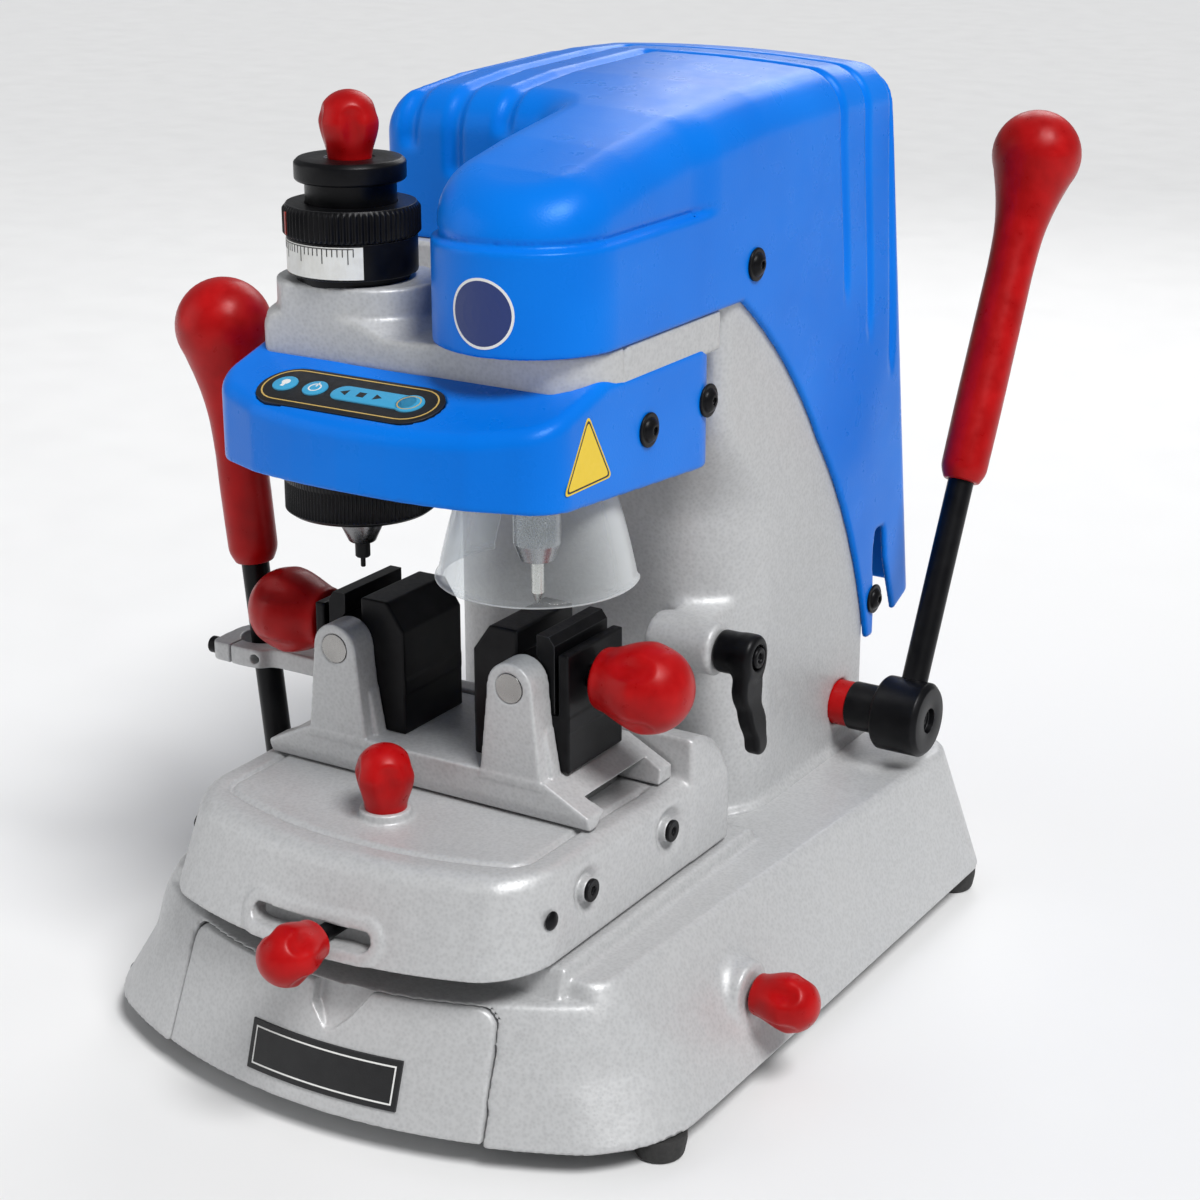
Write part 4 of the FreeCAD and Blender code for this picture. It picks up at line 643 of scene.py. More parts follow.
def base_outside(x, y, z):
    return both(base_plan(x, y, z), z - BASE_ROOF, 4.5)


def drawer_opening(x, z, gap):
    """Front view of the drawer opening: wider at its foot, rounded at its shoulders."""
    low, high = mm_box("drawer_front")
    half = high[0] + gap
    points = [(-half, low[2] - gap - 12), (half, low[2] - gap - 12),
              (half - 5, high[2] + gap), (5 - half, high[2] + gap)]
    return both(poly(x, z, points, 10), low[2] - gap - z)


def base_field(x, y, z):
    side_view = poly(y, z, [(-300, 0), (300, 0), (300, 80.5), (STEP_FRONT, 80.5), (STEP_FRONT - 2, 72.6),
                            (-300, 72.6)], 1)
    outside = both(base_plan(x, y, z), side_view, 2.5)
    shape = both(outside, BASE_FLOOR - z, 1.5)
    ledge_side = poly(y, z, [(STEP_FRONT - 8, 70), (3, 70), (3, 86), (STEP_FRONT - 2, 86)], 1)
    ledge = both(slab(x, (-107, 107)), ledge_side, 1.2)
    shape = either(shape, ledge, 1.5)
    boss_y, boss_z = joint_place("side_lock_turn")[1:]
    boss = both(disc(y, z, (boss_y, boss_z), 15), slab(x, (130, 151)), 1.5)
    shape = either(shape, boss, 5)
    cavity = both(base_outside(x, y, z) + BASE_WALL, z - (BASE_ROOF - BASE_WALL))
    shape = less(shape, cavity)
    shape = less(shape, both(drawer_opening(x, z, 0.8), y + 130), 0.8)
    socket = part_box("lever_socket")
    centre = [(socket[0][axis] + socket[1][axis]) / 2 / MM for axis in (0, 1)]
    shape = less(shape, both(disc(x, y, centre, 16), 48 - z), 2)
    inlet_low, inlet_high = mm_box("power_inlet")
    inlet = cube(x, y, z, (inlet_low[0], inlet_high[0]), (150, 210), (inlet_low[2], inlet_high[2]))
    shape = less(shape, inlet, 0.8)
    return less(shape, cube(x, y, z, (-60, 60), (20, 140), (50, 90)))


def drawer_field(x, y, z):
    """Bowed front plate with a tongue-shaped finger scoop."""
    outside = base_outside(x, y, z)
    plate = both(outside, -(outside + 10.5))
    plate = both(plate, drawer_opening(x, z, 0), 1.2)
    plate = both(plate, y + 150)
    hollow = poly(x, z, [(-2, 84), (-1.5, 60), (9, 48), (19, 57), (31, 73), (33, 84)], 4)
    deep = both(hollow, -(outside + 6.4 * ramp(z, 44, 60)), 1.2)
    return less(plate, deep, 0.8)


def build_base():
    cast("base_shell", base_field, BASE_LOW, BASE_HIGH, 1.9, GREY, "base", ["base_casting"])
    low, high = mm_box("drawer_front")
    cast("drawer_face", drawer_field, low - 2, high + 2, 1.1, GREY, "drawer", ["drawer_front"])


def column_field(x, y, z):
    """Column with round front corners, square cheeks on top and the height-lock lug."""
    low, high = mm_box("column_casting")
    half = 89.5
    half = half - 3.5 * ramp(z, 262, 272) * ramp(y, 100, 108)
    side = np.abs(x) - half
    squared = ramp(z, 235, 300) + 0 * x
    front = 4 + (low[1] + 13) * squared
    shaft = both(both(side, front - y, 46 - 36 * squared), y - high[1], 6)
    lock_y, lock_z = joint_place("height_lock_turn")[1:]
    eye = both(disc(y, z, (lock_y, lock_z), 13), slab(x, (58, 94)), 1.5)
    arm = cube(x, y, z, (60, 84), (lock_y, 50), (lock_z - 11, lock_z + 11), 4)
    shape = both(shaft, slab(z, (BASE_ROOF - 1, high[2])), 1)
    flare = cube(x, y, z, (-93.5, 93.5), (0, high[1] + 4), (BASE_ROOF - 1, BASE_ROOF + 4), 3)
    shape = either(shape, both(flare, both(slab(x, (-93.5, 93.5)), -y, 48)), 4)
    shape = either(shape, either(eye, arm, 6), 8)
    room = cube(x, y, z, (-77, 77), (35, high[1] - 9), (0, 500))
    room = either(room, cube(x, y, z, (-50, 50), (13, 60), (0, 500)))
    shape = less(shape, room)
    bush_y, bush_z = joint_place("lever_swing")[1:]
    return less(shape, both(disc(y, z, (bush_y, bush_z), 12.25), slab(x, (-200, 200))))


def build_column():
    low, high = mm_box("column_casting")
    cast("column_shell", column_field, low - 4, high + 4, 1.9, GREY, "base", ["column_casting"])


# ---- carriage ---------------------------------------------------------------------------------

SKIRT_LOW, SKIRT_HIGH = mm_box("carriage_skirt")
SKIRT_TOP = 130.0


def skirt_outside(x, y, z):
    climb = np.clip((z - SKIRT_LOW[2]) / (SKIRT_TOP - SKIRT_LOW[2]), 0, 1)
    half = SKIRT_HIGH[0] - 3 * climb * ramp(y, -16, -150)
    side = np.abs(x) - half
    fall, slope = bow(x, half, 24 - climb)
    front = ((SKIRT_LOW[1] + 19 * climb + fall) - y) * slope * 0.93
    return both(side, front, 22)


def skirt_field(x, y, z):
    """Bowed carriage cover with a crease round its top, side hollows and a slot for the stop."""
    plan = skirt_outside(x, y, z)
    top = both(both(plan, z - SKIRT_TOP, 7), y - SKIRT_HIGH[1])
    crease = dip(plan + 15, 2.2) * ramp(y, -60, -80)
    top = np.where(z > SKIRT_TOP - 6, top + 2.4 * crease, top)
    profile = [(-52, 80), (SKIRT_HIGH[1], 80), (SKIRT_HIGH[1], 117)]
    profile += arc((SKIRT_HIGH[1], 117), (-26, 141), (-50, SKIRT_HIGH[2]), 8)[1:] + [(-52, SKIRT_HIGH[2])]
    hump = both(poly(y, z, profile), np.abs(x) - SKIRT_HIGH[0], 3)
    shape = either(top, hump, 2)
    shape = both(shape, SKIRT_LOW[2] - z, 1)
    stem_x, stem_y = joint_place("x_lock_turn")[:2]
    collar = both(disc(x, y, (stem_x, stem_y), 12.2), z - 134.5, 0.8)
    shape = either(shape, both(collar, 112 - z), 1.2)
    for spot_y, spot_z, reach in ((-144, 111.6, 9), (-72, 112.6, 9)):
        hollow = ball(np.abs(x), y, z, (112, spot_y, spot_z), 16)
        shape = less(shape, hollow, 1.2)
        seat = both(disc(y, z, (spot_y, spot_z), 5.6), slab(np.abs(x), (95, 120)))
        shape = either(shape, both(seat, np.abs(x) - 101.9, 0.5))
    rim = both(bar(x, z, (-29, 98), (29, 98), 9.5), -(plan + 4))
    rim = both(rim, plan - 1.0, 1)
    shape = either(shape, both(rim, y + 180), 2)
    shape = less(shape, both(bar(x, z, (-28.6, 98), (28.6, 98), 4.5), y + 180), 0.8)
    cavity = both(both(plan + 9, z - 119), y + 1)
    return less(shape, cavity)


def build_carriage():
    cast("carriage_cover", skirt_field, SKIRT_LOW - 3, SKIRT_HIGH + 2, 1.2, GREY, "carriage",
         ["carriage_skirt"])


# ---- vise slide -------------------------------------------------------------------------------

POST_X = 49.5
RING_REACH = 33.5


def slide_field(x, y, z):
    """Saddle with sloping shoulders and two slant-sided posts with round crowns."""
    low, high = mm_box("vise_slide_casting")
    half = high[0]
    section = [(-half, low[2]), (half, low[2]), (half, 138), (67.7, 150), (-67.7, 150), (-half, 138)]
    saddle = both(poly(x, z, section, 0.6), slab(y, (low[1], high[1])), 0.8)
    tip_cut = poly(y, z, [(-122, 131), (-107, 131), (-112, 140)])
    saddle = less(saddle, both(tip_cut, 70 - np.abs(x)), 0.5)
    under = poly(y, z, [(-140, 120), (low[1] + 7, 120), (low[1] - 0.2, 136.5), (-140, 136.5)])
    saddle = less(saddle, under, 1)
    tail = poly(y, z, [(-110.05, 120), (-69.95, 120), (-62.95, 142.05), (-117.05, 142.05)])
    saddle = less(saddle, tail)
    across = np.abs(x)
    side_line = [(POST_X - 17, 146), (POST_X + 17, 146), (POST_X + 12, 193), (POST_X - 12, 193)]
    crown = disc(across, z, (POST_X, 193), 12)
    post = either(poly(across, z, side_line), crown, 1)
    step = poly(x, z, [(POST_X, 150), (POST_X + 19, 150), (POST_X + 15, 172), (POST_X, 178)])
    mirror_step = poly(x, z, [(-POST_X, 150), (19 - POST_X, 150), (15 - POST_X, 172), (-POST_X, 178)])
    wing = both(either(step, mirror_step), slab(y, (-123, -115)), 1.2)
    post = both(post, slab(y, (low[1], -114.6)), 0.8)
    shape = either(saddle, either(post, wing, 1), 1.2)
    pin = disc(across, z, (POST_X, 193), 7.05)
    return less(shape, both(pin, slab(y, (-140, -110))), 0.5)


def block_field(x, y, z):
    """Vise bodies: shelf, fixed jaw with its gripping lip, and the ear for the clamp screw."""
    low, high = mm_box("vise_blocks")
    across = np.abs(x)
    span = slab(y, (low[1], high[1]))
    shelf = poly(across, z, [(20, low[2]), (72, low[2]), (72, 177.6), (20, 177.6)], 0.8)
    fixed = poly(across, z, [(20, 170), (44.5, 170), (44.5, 215), (29, 215), (20, 202)], 0.8)
    notch = cube(across, y, z, (42.9, 50), (-200, 0), (180, 203), 0.4)
    ear = poly(across, z, [(66.4, 170), (72, 170), (72, 208), (66.4, 208)], 0.8)
    shape = both(either(either(shelf, fixed, 1), ear, 1), span, 0.8)
    shape = less(shape, notch, 0.3)
    spot = joint_place("right_clamp_turn")
    return less(shape, both(disc(y, z, (spot[1], spot[2]), 5.1), 60 - across), 0.4)


def ring_centre():
    """Middle of the bore that the joystick's rod passes through."""
    low, high = mm_box("lever_ring")
    return low[0] + RING_REACH, (low[1] + high[1]) / 2, (low[2] + high[2]) / 2


def ring_field(x, y, z):
    """Lever ring with a clamping block that is slit at its front, and an arm to the saddle."""
    low, high = mm_box("lever_ring")
    centre = ring_centre()
    level = slab(z, (low[2], high[2]))
    rim = disc(x, y, centre, 19.5)
    arm = bar(x, y, (centre[0] + 6, centre[1] - 5), (high[0] + 12, centre[1] - 5), 9.5)
    lug = cube(x, y, 0 * z, (centre[0] - 19, centre[0] + 14), (centre[1] - 20.5, centre[1] - 4), (-50, 50), 5)
    shape = both(either(either(rim, arm, 5), lug, 3), level, 1.4)
    shape = both(shape, x - high[0])
    shape = less(shape, disc(x, y, centre, 12), 0.8)
    slit = both(slab(x, (centre[0] - 6.9, centre[0] - 5.7)), y - centre[1])
    shape = less(shape, slit, 0.3)
    hole = both(disc(x, z, (centre[0] + 9, centre[2]), 2.4), y - (centre[1] - 13))
    return less(shape, hole, 0.3)


def build_vise():
    low, high = mm_box("vise_slide_casting")
    cast("vise_saddle", slide_field, low - 1, high + 1, 0.85, GREY, "vise_slide", ["vise_slide_casting"])
    low, high = mm_box("vise_blocks")
    cast("vise_bodies", block_field, low, high, 0.7, BLACK, "vise_slide", ["vise_blocks"])
    low, high = mm_box("lever_ring")
    cast("joystick_ring", ring_field, low - 1, high + 1, 0.6, GREY, "vise_slide", ["lever_ring"])


# ---- head -------------------------------------------------------------------------------------

BAND_TOP = 350.0
HEAD_HALF = 92.0


def band_outline(grow=0.0):
    """Plan of the grey band: straight flanks, cut corners and a gently bowed front."""
    half = HEAD_HALF + grow
    front = mm_box("head_casting")[0][1] - grow
    nose = arc((-68 - grow, front + 13), (0, front), (68 + grow, front + 13), 12)
    return [(-half, -11)] + [(-half, -92)] + nose + [(half, -92), (half, -11)]


def plate_outline():
    """Plan of the grey plate on the brow: gently bowed front and well rounded corners."""
    half = HEAD_HALF - 0.4
    left = [(-half, -11)] + arc((-half, -112), (-85, -127), (-70, -136), 7)
    front = arc((-64, -137.5), (-10, -140), (54, -135), 8)
    right = arc((54, -135), (83, -123.5), (half, -99), 9)[1:]
    return left + front + right + [(half, -11)]


def head_field(x, y, z):
    """Band, tracer deck with its lug, apron, spindle housing and the hidden bridge."""
    low, high = mm_box("head_casting")
    plan = poly(x, y, plate_outline(), 3)
    top = BAND_TOP - 3 * ramp(-y, 70, 120) * ramp(-x, -40, 10)
    band = both(plan, both(z - top, 331 - z), 1.4)
    joint = dip(y + 97, 2.4) * ramp(np.abs(x), 84, 90) * ramp(z, 338, 339.5)
    band = band + 1.8 * joint
    boss_plan = bar(x, y, (-57, -103), (-40, -99), 30.5)
    deck = both(boss_plan, slab(z, (336, 367)), 1.2)
    skirt = both((boss_plan - 1.3 * np.clip(354 - z, 0, 30)) * 0.6, slab(z, (336, 354)))
    skirt = both(skirt, plan + 1)
    lug = both(disc(x, y, (-64, -132.5), 8.5), slab(z, (336, 361.5)), 1.5)
    shape = either(band, either(either(deck, skirt, 1), lug, 1.2), 1)
    apron = cube(x, y, z, (-75, 2), (-32, -11), (336, 369.7), 2)
    webs = cube(x, y, z, (-75, 2), (-23, -11), (336, 386), 1)
    webs = either(webs, cube(x, y, z, (8, 70), (-44, -11), (336, 386), 1))
    bridge = cube(x, y, z, (-80, 80), (-23, 122), (374, 386), 1)
    shape = either(shape, either(apron, either(webs, bridge)), 2)
    nose = both(disc(x, y, (POST_X, -105), 24), slab(z, (300, 374)), 1.5)
    sleeve = both(disc(x, y, (-POST_X, -105), 15), slab(z, (low[2], 366)), 1)
    shape = either(shape, either(nose, sleeve), 1.5)
    shape = less(shape, both(disc(x, y, (POST_X, -105), 16), slab(z, (200, 500))))
    shape = less(shape, both(disc(x, y, (-POST_X, -105), 10.05), slab(z, (200, 500))))
    for spot_x in (-60, -18):
        shape = less(shape, both(disc(x, y, (spot_x, 60), 9), slab(z, (200, 500))))
    return shape


def cover_outline(grow=0.0):
    """Plan of the lower cover, drawn in by a negative growth."""
    half = HEAD_HALF + grow
    front = mm_box("lower_cover")[0][1] - grow
    nose = arc((-58, front + 6.5), (0, front), (58, front + 6.5), 10)
    return [(-half, -8.5)] + [(-half, -158 - 0.6 * grow)] + nose + [(half, -158 - 0.6 * grow), (half, -8.5)]


PANEL_LOW, PANEL_HIGH = mm_box("control_panel")
BROW = math.atan2(16, 55)


def panel_matrix(lift=0.0):
    """Frame of the control panel: its Z is the outward normal of the brow, lifted by some millimetres."""
    middle = (PANEL_LOW + PANEL_HIGH) / 2
    frame_of = Matrix.Translation(middle) @ Matrix.Rotation(BROW, 4, "X")
    return frame_of @ Matrix.Translation((0, 0, lift))


COVER_TOP = 338.5


def cover_field(x, y, z):
    """Moulded skirt: brow slopes to the front, chin rises to it, open above and below."""
    low, high = mm_box("lower_cover")
    outer = poly(x, y, cover_outline(), 24)
    brow = (z - 334) * math.cos(BROW) - (y + 129) * math.sin(BROW)
    brow = np.maximum(brow, z - COVER_TOP)
    chin_line = np.interp(y, [low[1] - 5, 0], [290, 276])
    chin = (chin_line - z) * 0.997
    solid = both(both(outer, brow, 6), chin, 1.2)
    inner = both(poly(x, y, cover_outline(-3), 21), brow + 3, 5)
    shape = less(solid, inner)
    opening = both(poly(x, y, plate_outline(), 3) + 9, 300 - z)
    shape = less(shape, opening)
    shape = both(shape, y + 8.5)
    middle = (PANEL_LOW + PANEL_HIGH) / 2
    u = x - middle[0]
    v = (y - middle[1]) * math.cos(BROW) + (z - middle[2]) * math.sin(BROW)
    w = (z - middle[2]) * math.cos(BROW) - (y - middle[1]) * math.sin(BROW)
    recess = both(bar(u, v, (-33, 0), (33, 0), 15.7), -1.4 - w)
    return less(shape, recess, 0.5)


HOOD_LOW, HOOD_HIGH = mm_box("upper_hood")
HOOD_HALF = HOOD_HIGH[0]
NOSE = (48.25, -105.0)
NOSE_RADIUS = 44.25
STEP_Y = -26.0
NOOK_TOP = 370.0
HOOD_WALL = 3.3 * COARSE
HOOD_BACK_TOP = (173.0, 425.0)
HOOD_TAIL = (HOOD_HIGH[1], 152.0)


def hood_plan(x, y, z):
    """Plan of the hood: a round-nosed right half and a left half that starts further back."""
    drawn_in = (3.0 * ramp(z, 395.5, 398.5) + 1.3 * dip(z - 398, 3)) * ramp(y, -14, -40)
    right = bar(x, y, NOSE, (NOSE[0], 300), NOSE_RADIUS) + drawn_in
    left = both(both(-HOOD_HALF - x, STEP_Y - y, 14), x - 60)
    lean = (HOOD_TAIL[0] - HOOD_BACK_TOP[0]) / (HOOD_BACK_TOP[1] - HOOD_TAIL[1])
    back = (y - HOOD_BACK_TOP[0] - lean * np.maximum(HOOD_BACK_TOP[1] - z, 0)) * 0.988
    return both(both(either(right, left, 9), back, 12), np.abs(x) - HOOD_HALF)


def hood_roof(x, y):
    """Height of the crowned roof."""
    line = np.interp(y, [HOOD_LOW[1], -115, -81, -30, 28, 110, HOOD_BACK_TOP[0]],
                     [414, 424, 431, 439, 444.5, 446.5, 444])
    return line + 4.5 * (1 - (x / HOOD_HALF) ** 2) - 1.5


def hood_field(x, y, z):
    """Thin hood with pressed L-shaped flutes, a leaf-shaped cut round the column and open below."""
    plan = hood_plan(x, y, z)
    crown = (z - hood_roof(x, y)) * 0.985
    skin = both(plan, crown, 20)
    flutes = 0
    for lane, rear_bottom, front_bottom, rear_low, rear_high in (
            (-20.0, 327.0, 422.0, 118.0, 107.6), (-48.0, 302.0, 400.0, 146.8, 135.3),
            (-74.0, 278.0, 412.0, 174.4, 163.7)):
        row = rear_low + (rear_high - rear_low) * ramp(z, rear_bottom, 436)
        along = both(np.abs(x - lane), y - row) + 0 * z
        across = both(np.abs(y - row), lane - x)
        fade_front = ramp(z, front_bottom - 2, front_bottom + 7)
        fade_rear = ramp(z, rear_bottom - 3, rear_bottom + 22)
        press = np.maximum(3.2 * dip(along, 7.0) * fade_front, 2.6 * dip(across, 3.8) * fade_rear)
        flutes = np.maximum(flutes, press)
    skin = skin + flutes
    inner = skin + HOOD_WALL + 1.7 * np.maximum(ramp(-y, 30, 50), ramp(z, 404, 412))
    side_view = [(HOOD_LOW[1] - 30, 350.2), (8, 350.2)]
    side_view += arc((8, 350.2), (58, 307), (93, 263), 9)[1:]
    side_view += arc((93, 263), (136, 195), (157, 135.5), 9)[1:]
    side_view += [(166, 135.5), (190, 142), (215, 152), (300, 186), (300, 600), (HOOD_LOW[1] - 30, 600)]
    trim = poly(y, z, side_view)
    nook = cube(x, y, z, (-200, 4.2), (-200, -8.5), (200, NOOK_TOP), 0)
    wall = cube(x, y, z, (-200, 6.8), (-200, -5.9), (200, NOOK_TOP + 2.6), 0)
    cavity = less(inner, wall)
    shape = both(skin, trim, 0.9)
    shape = less(shape, nook, 0.9)
    shape = less(shape, cavity, 0.6)
    arch = poly(y, z, [(165, 100), (165, 150), (161.5, 180), (163, 196), (174, 196), (177.5, 175),
                       (190.5, 142), (205, 100)], 3)
    return less(shape, both(arch, 80 - x), 0.5)


def build_head():
    low, high = mm_box("head_casting")
    cast("head_frame", head_field, low - 1, high + 1, 1.4, GREY, "head", ["head_casting"])
    low, high = mm_box("lower_cover")
    high[2] = COVER_TOP
    cast("front_cover", cover_field, low - 1, high + 1, 1.15, BLUE, "head", ["lower_cover"])
    cast("top_hood", hood_field, HOOD_LOW - 1, HOOD_HIGH + 5, 1.4, BLUE, "head", ["upper_hood"])


# ---- knobs and grips --------------------------------------------------------------------------

def knob_mesh(radius, neck, length, step, dent_at, dent_size):
    """Pear-shaped knob along +Z with four spoon-shaped dents between its neck and its ball."""
    centre = length - radius

    def field(x, y, z):
        across = np.sqrt(x * x + y * y)
        taper = neck + (radius * 0.88 - neck) * np.clip(z / centre, 0, 1)
        stalk = both((across - taper) * 0.98, slab(z, (0, centre)), 1.5)
        shape = either(stalk, ball(x, y, z, (0, 0, centre), radius), 5)
        for number in range(4):
            angle = math.pi / 4 + number * math.pi / 2
            u = x * math.cos(angle) + y * math.sin(angle)
            v = y * math.cos(angle) - x * math.sin(angle)
            t = np.clip(z / (centre + radius * 0.2), 0.12, 1)
            dent = np.sqrt((u - radius * dent_at) ** 2 + v * v + (z - t * (centre + radius * 0.2)) ** 2)
            shape = less(shape, dent - radius * dent_size, 3)
        return shape
    reach = radius + 1
    return surface_nets(field, (-reach, -reach, -1), (reach, reach, length + 1), step * COARSE)


def build_knobs():
    small = knob_mesh(13.75, 10, 32, 0.75, 1.22, 0.40)
    large = knob_mesh(21, 14.5, 46, 1.0, 1.24, 0.36)
    stop = mm_box("slot_knob")
    spots = (
        ("side_knob", "side_lock_knob", "side_lock", small, (153, *joint_place("side_lock_turn")[1:]), (1, 0, 0)),
        ("slide_lock_knob", "x_lock_knob", "x_lock", small, (*joint_place("x_lock_turn")[:2], 133.3), (0, 0, 1)),
        ("stop_knob", "slot_knob", "slide_stop", small, (9, stop[0][1] + 32, 98), (0, -1, 0)),
        ("tracer_top_knob", "tracer_knob", "tracer_lock", small, (-POST_X, -105, 419.5), (0, 0, 1)),
        ("right_vise_knob", "right_clamp_knob", "right_clamp", large,
         (78, *joint_place("right_clamp_turn")[1:]), (1, 0, 0)),
        ("left_vise_knob", "left_clamp_knob", "left_clamp", large,
         (-78, *joint_place("left_clamp_turn")[1:]), (-1, 0, 0)),
    )
    for name, node, body, (points, quads), place, axis in spots:
        matrix = Matrix.Translation(place) @ heading(axis)
        add(name, placed(points, matrix), quads, RED, body, [node])
    build_stems()


def build_stems():
    """Black-oxide screws that carry the side, slide and clamp knobs, and the tongue of the slide stop."""
    rod = [(0, -24), (3.7, -24), (4, -23), (4, 1.5), (0, 1.5)]
    clamp = [(0, -14), (4.6, -14), (5, -13), (5, 1.5), (0, 1.5)]
    spots = (("side_stem", "side_lock", rod, (153, *joint_place("side_lock_turn")[1:]), (1, 0, 0)),
             ("slide_lock_stem", "x_lock", [(r, h * 0.6) for r, h in rod],
              (*joint_place("x_lock_turn")[:2], 133.3), (0, 0, 1)),
             ("stop_stem", "slide_stop", [(r, h - 6 * (h < 0)) for r, h in rod],
              (9, mm_box("slot_knob")[0][1] + 32, 98), (0, -1, 0)),
             ("right_clamp_screw", "right_clamp", clamp, (78, *joint_place("right_clamp_turn")[1:]), (1, 0, 0)),
             ("left_clamp_screw", "left_clamp", clamp, (-78, *joint_place("left_clamp_turn")[1:]), (-1, 0, 0)))
    for name, body, profile, place, axis in spots:
        turned(name, profile, BLACK, body, place, axis, 40)


def grip_profile(start, ball_at):
    """Long moulded grip: chamfered mouth, gently tapered shank, flare and ball."""
    outline = [(6.9, start), (9.5, start), (12.4, start + 6), (12.7, start + 40), (12.4, ball_at - 62),
               (13.4, ball_at - 42), (16.6, ball_at - 26), (21, ball_at - 12)]
    outline = softened(outline, 14, 5)
    for angle in np.linspace(-20, 90, 16):
        outline.append((24 * math.cos(math.radians(angle)), ball_at + 24 * math.sin(math.radians(angle))))
    outline[-1] = (0, ball_at + 24)
    return [(0, start + 2)] + outline


JOYSTICK_LEAN = math.radians(5.94)
HEIGHT_LEAN = math.radians(26.5)


def build_levers():
    left = (-math.sin(JOYSTICK_LEAN), 0, math.cos(JOYSTICK_LEAN))
    right = (0, math.sin(HEIGHT_LEAN), math.cos(HEIGHT_LEAN))
    turned("joystick_grip", grip_profile(142, 262), RED, "joystick", joint_place("joystick_pitch"), left,
           72, None, ["left_lever_grip"], 60)
    turned("height_grip", grip_profile(129.5, 312), RED, "height_lever", joint_place("lever_swing"), right,
           72, None, ["right_lever_grip"], 60)
    hub = [(0, 137), (3.2, 137), (3.4, 139.5), (6.6, 139.5), (6.8, 143), (17.5, 143), (20, 140.5), (20, 117.5),
           (18.6, 116), (13, 116), (13, 98.4), (8.2, 98.4), (8.2, 112), (0, 112)]
    pivot = joint_place("lever_swing")
    turned("height_hub", softened(hub, 0.6, 2), BLACK, "height_lever", (0, pivot[1], pivot[2]), (1, 0, 0),
           96, None, ["lever_hub"])


# ---- tracer -----------------------------------------------------------------------------------

TRACER_AT = (-POST_X, -105.0, 0.0)
LABEL_LOW, LABEL_HIGH = mm_box("micrometer_sleeve")
KNURL_LOW, KNURL_HIGH = mm_box("micrometer_ring")
CAP_LOW, CAP_HIGH = mm_box("tracer_cap")
DIAL_LOW, DIAL_HIGH = mm_box("graduated_ring")


def rows_between(radius, low, high, count):
    return [(radius, height) for height in np.linspace(low, high, count)]


def build_tracer():
    low, high = LABEL_LOW[2], LABEL_HIGH[2]
    sleeve = [(11, low), (26, low), (26, low + 3.6), (29.9, low + 4.2), (29.9, high - 0.2), (11, high - 0.2)]
    turned("micrometer_body", softened(sleeve, 0.5, 2), BLACK, "head", TRACER_AT, segments=120,
           replaces=["micrometer_sleeve"])
    low, high = KNURL_LOW[2], KNURL_HIGH[2]
    ring = [(21.2, low + 0.2), (30.2, low + 0.2), (31.5, low + 1.4)]
    ring += rows_between(31.5, low + 1.5, high - 2.4, 2)
    ring += [(30.3, high - 1.0), (29.6, high), (21.2, high)]
    turned("micrometer_knurl", ring, BLACK, "micrometer", TRACER_AT, segments=720,
           knurl=(low + 1.3, high - 2.3, 72, 1.1), replaces=["micrometer_ring"], crisp=50)
    top = CAP_HIGH[2]
    cap = [(0, 388), (20.9, 388), (20.9, top - 10), (24.6, top - 10), (25.5, top - 9), (25.5, top - 1.8),
           (23.7, top), (11.5, top), (11.2, top - 0.8), (0, top - 0.8)]
    turned("tracer_disc", softened(cap, 0.5, 2), BLACK, "tracer_lock", TRACER_AT, segments=96,
           replaces=["tracer_cap"])
    low, high = DIAL_LOW[2], DIAL_HIGH[2]
    dial = [(10.3, low), (33.5, low), (35.6, low + 1.6), (35.6, low + 2)]
    dial += rows_between(35.6, low + 2.1, low + 15.4, 2)
    dial += [(36, low + 16.4), (36, high - 1), (35, high), (10.3, high)]
    turned("graduated_dial", dial, BLACK, "dial", TRACER_AT, segments=1200,
           knurl=(low + 2.05, low + 15.5, 120, 0.8), replaces=["graduated_ring"], crisp=50)
    quill = [(0, 240.8), (6.0, 240), (6.6, 240.5), (12, 252.2), (12, 256), (9.9, 256.2), (9.9, 385), (0, 385)]
    steel = turned_steel("quill_steel", (0.22, 0.22, 0.225), 2, TRACER_AT, 0.5)
    turned("tracer_nose", quill, steel, "tracer", TRACER_AT, segments=96, replaces=["tracer_quill"],
           crisp=30)
    stylus = [(0, 227), (0.9, 227), (1.2, 227.4), (1.2, 232), (3.0, 232), (3.6, 232.6), (3.6, 241), (0, 241)]
    turned("tracer_stylus_pin", stylus, BLACK, "tracer", TRACER_AT, segments=40,
           replaces=["tracer_stylus"])


# ---- guard, feet and fasteners ----------------------------------------------------------------

def shield_field(x, y, z):
    """Clear bell that widens towards its rim, open at the back below its collar."""
    low, high = mm_box("cutter_shield")
    across = np.sqrt((x - POST_X) ** 2 + (y + 105) ** 2)
    drop = np.clip((285 - z) / (285 - low[2]), 0, 1)
    reach = 33 + 13 * drop ** 0.75
    skin = both((across - reach) * 0.965, slab(z, (low[2], high[2])), 0.9)
    inner = both((across - reach + 2.1) * 0.965, z - (high[2] - 2.1))
    skin = less(skin, inner, 0.5)
    skin = less(skin, both(across - 24.1, slab(z, (290, 320))))
    lip = both(both(across - 46.8, 43 - across), slab(z, (low[2], low[2] + 2)), 0.8)
    skin = either(skin, lip, 1)
    gap = both(both(-83 - y, slab(x, (-20, 120))), z - 300.9)
    return less(skin, gap, 0.6)


def hex_recess(x, y, flats):
    """Hexagon field by its three pairs of flats."""
    shape = np.abs(x) - flats / 2
    for angle in (60, 120):
        across = x * math.cos(math.radians(angle)) + y * math.sin(math.radians(angle))
        shape = np.maximum(shape, np.abs(across) - flats / 2)
    return shape


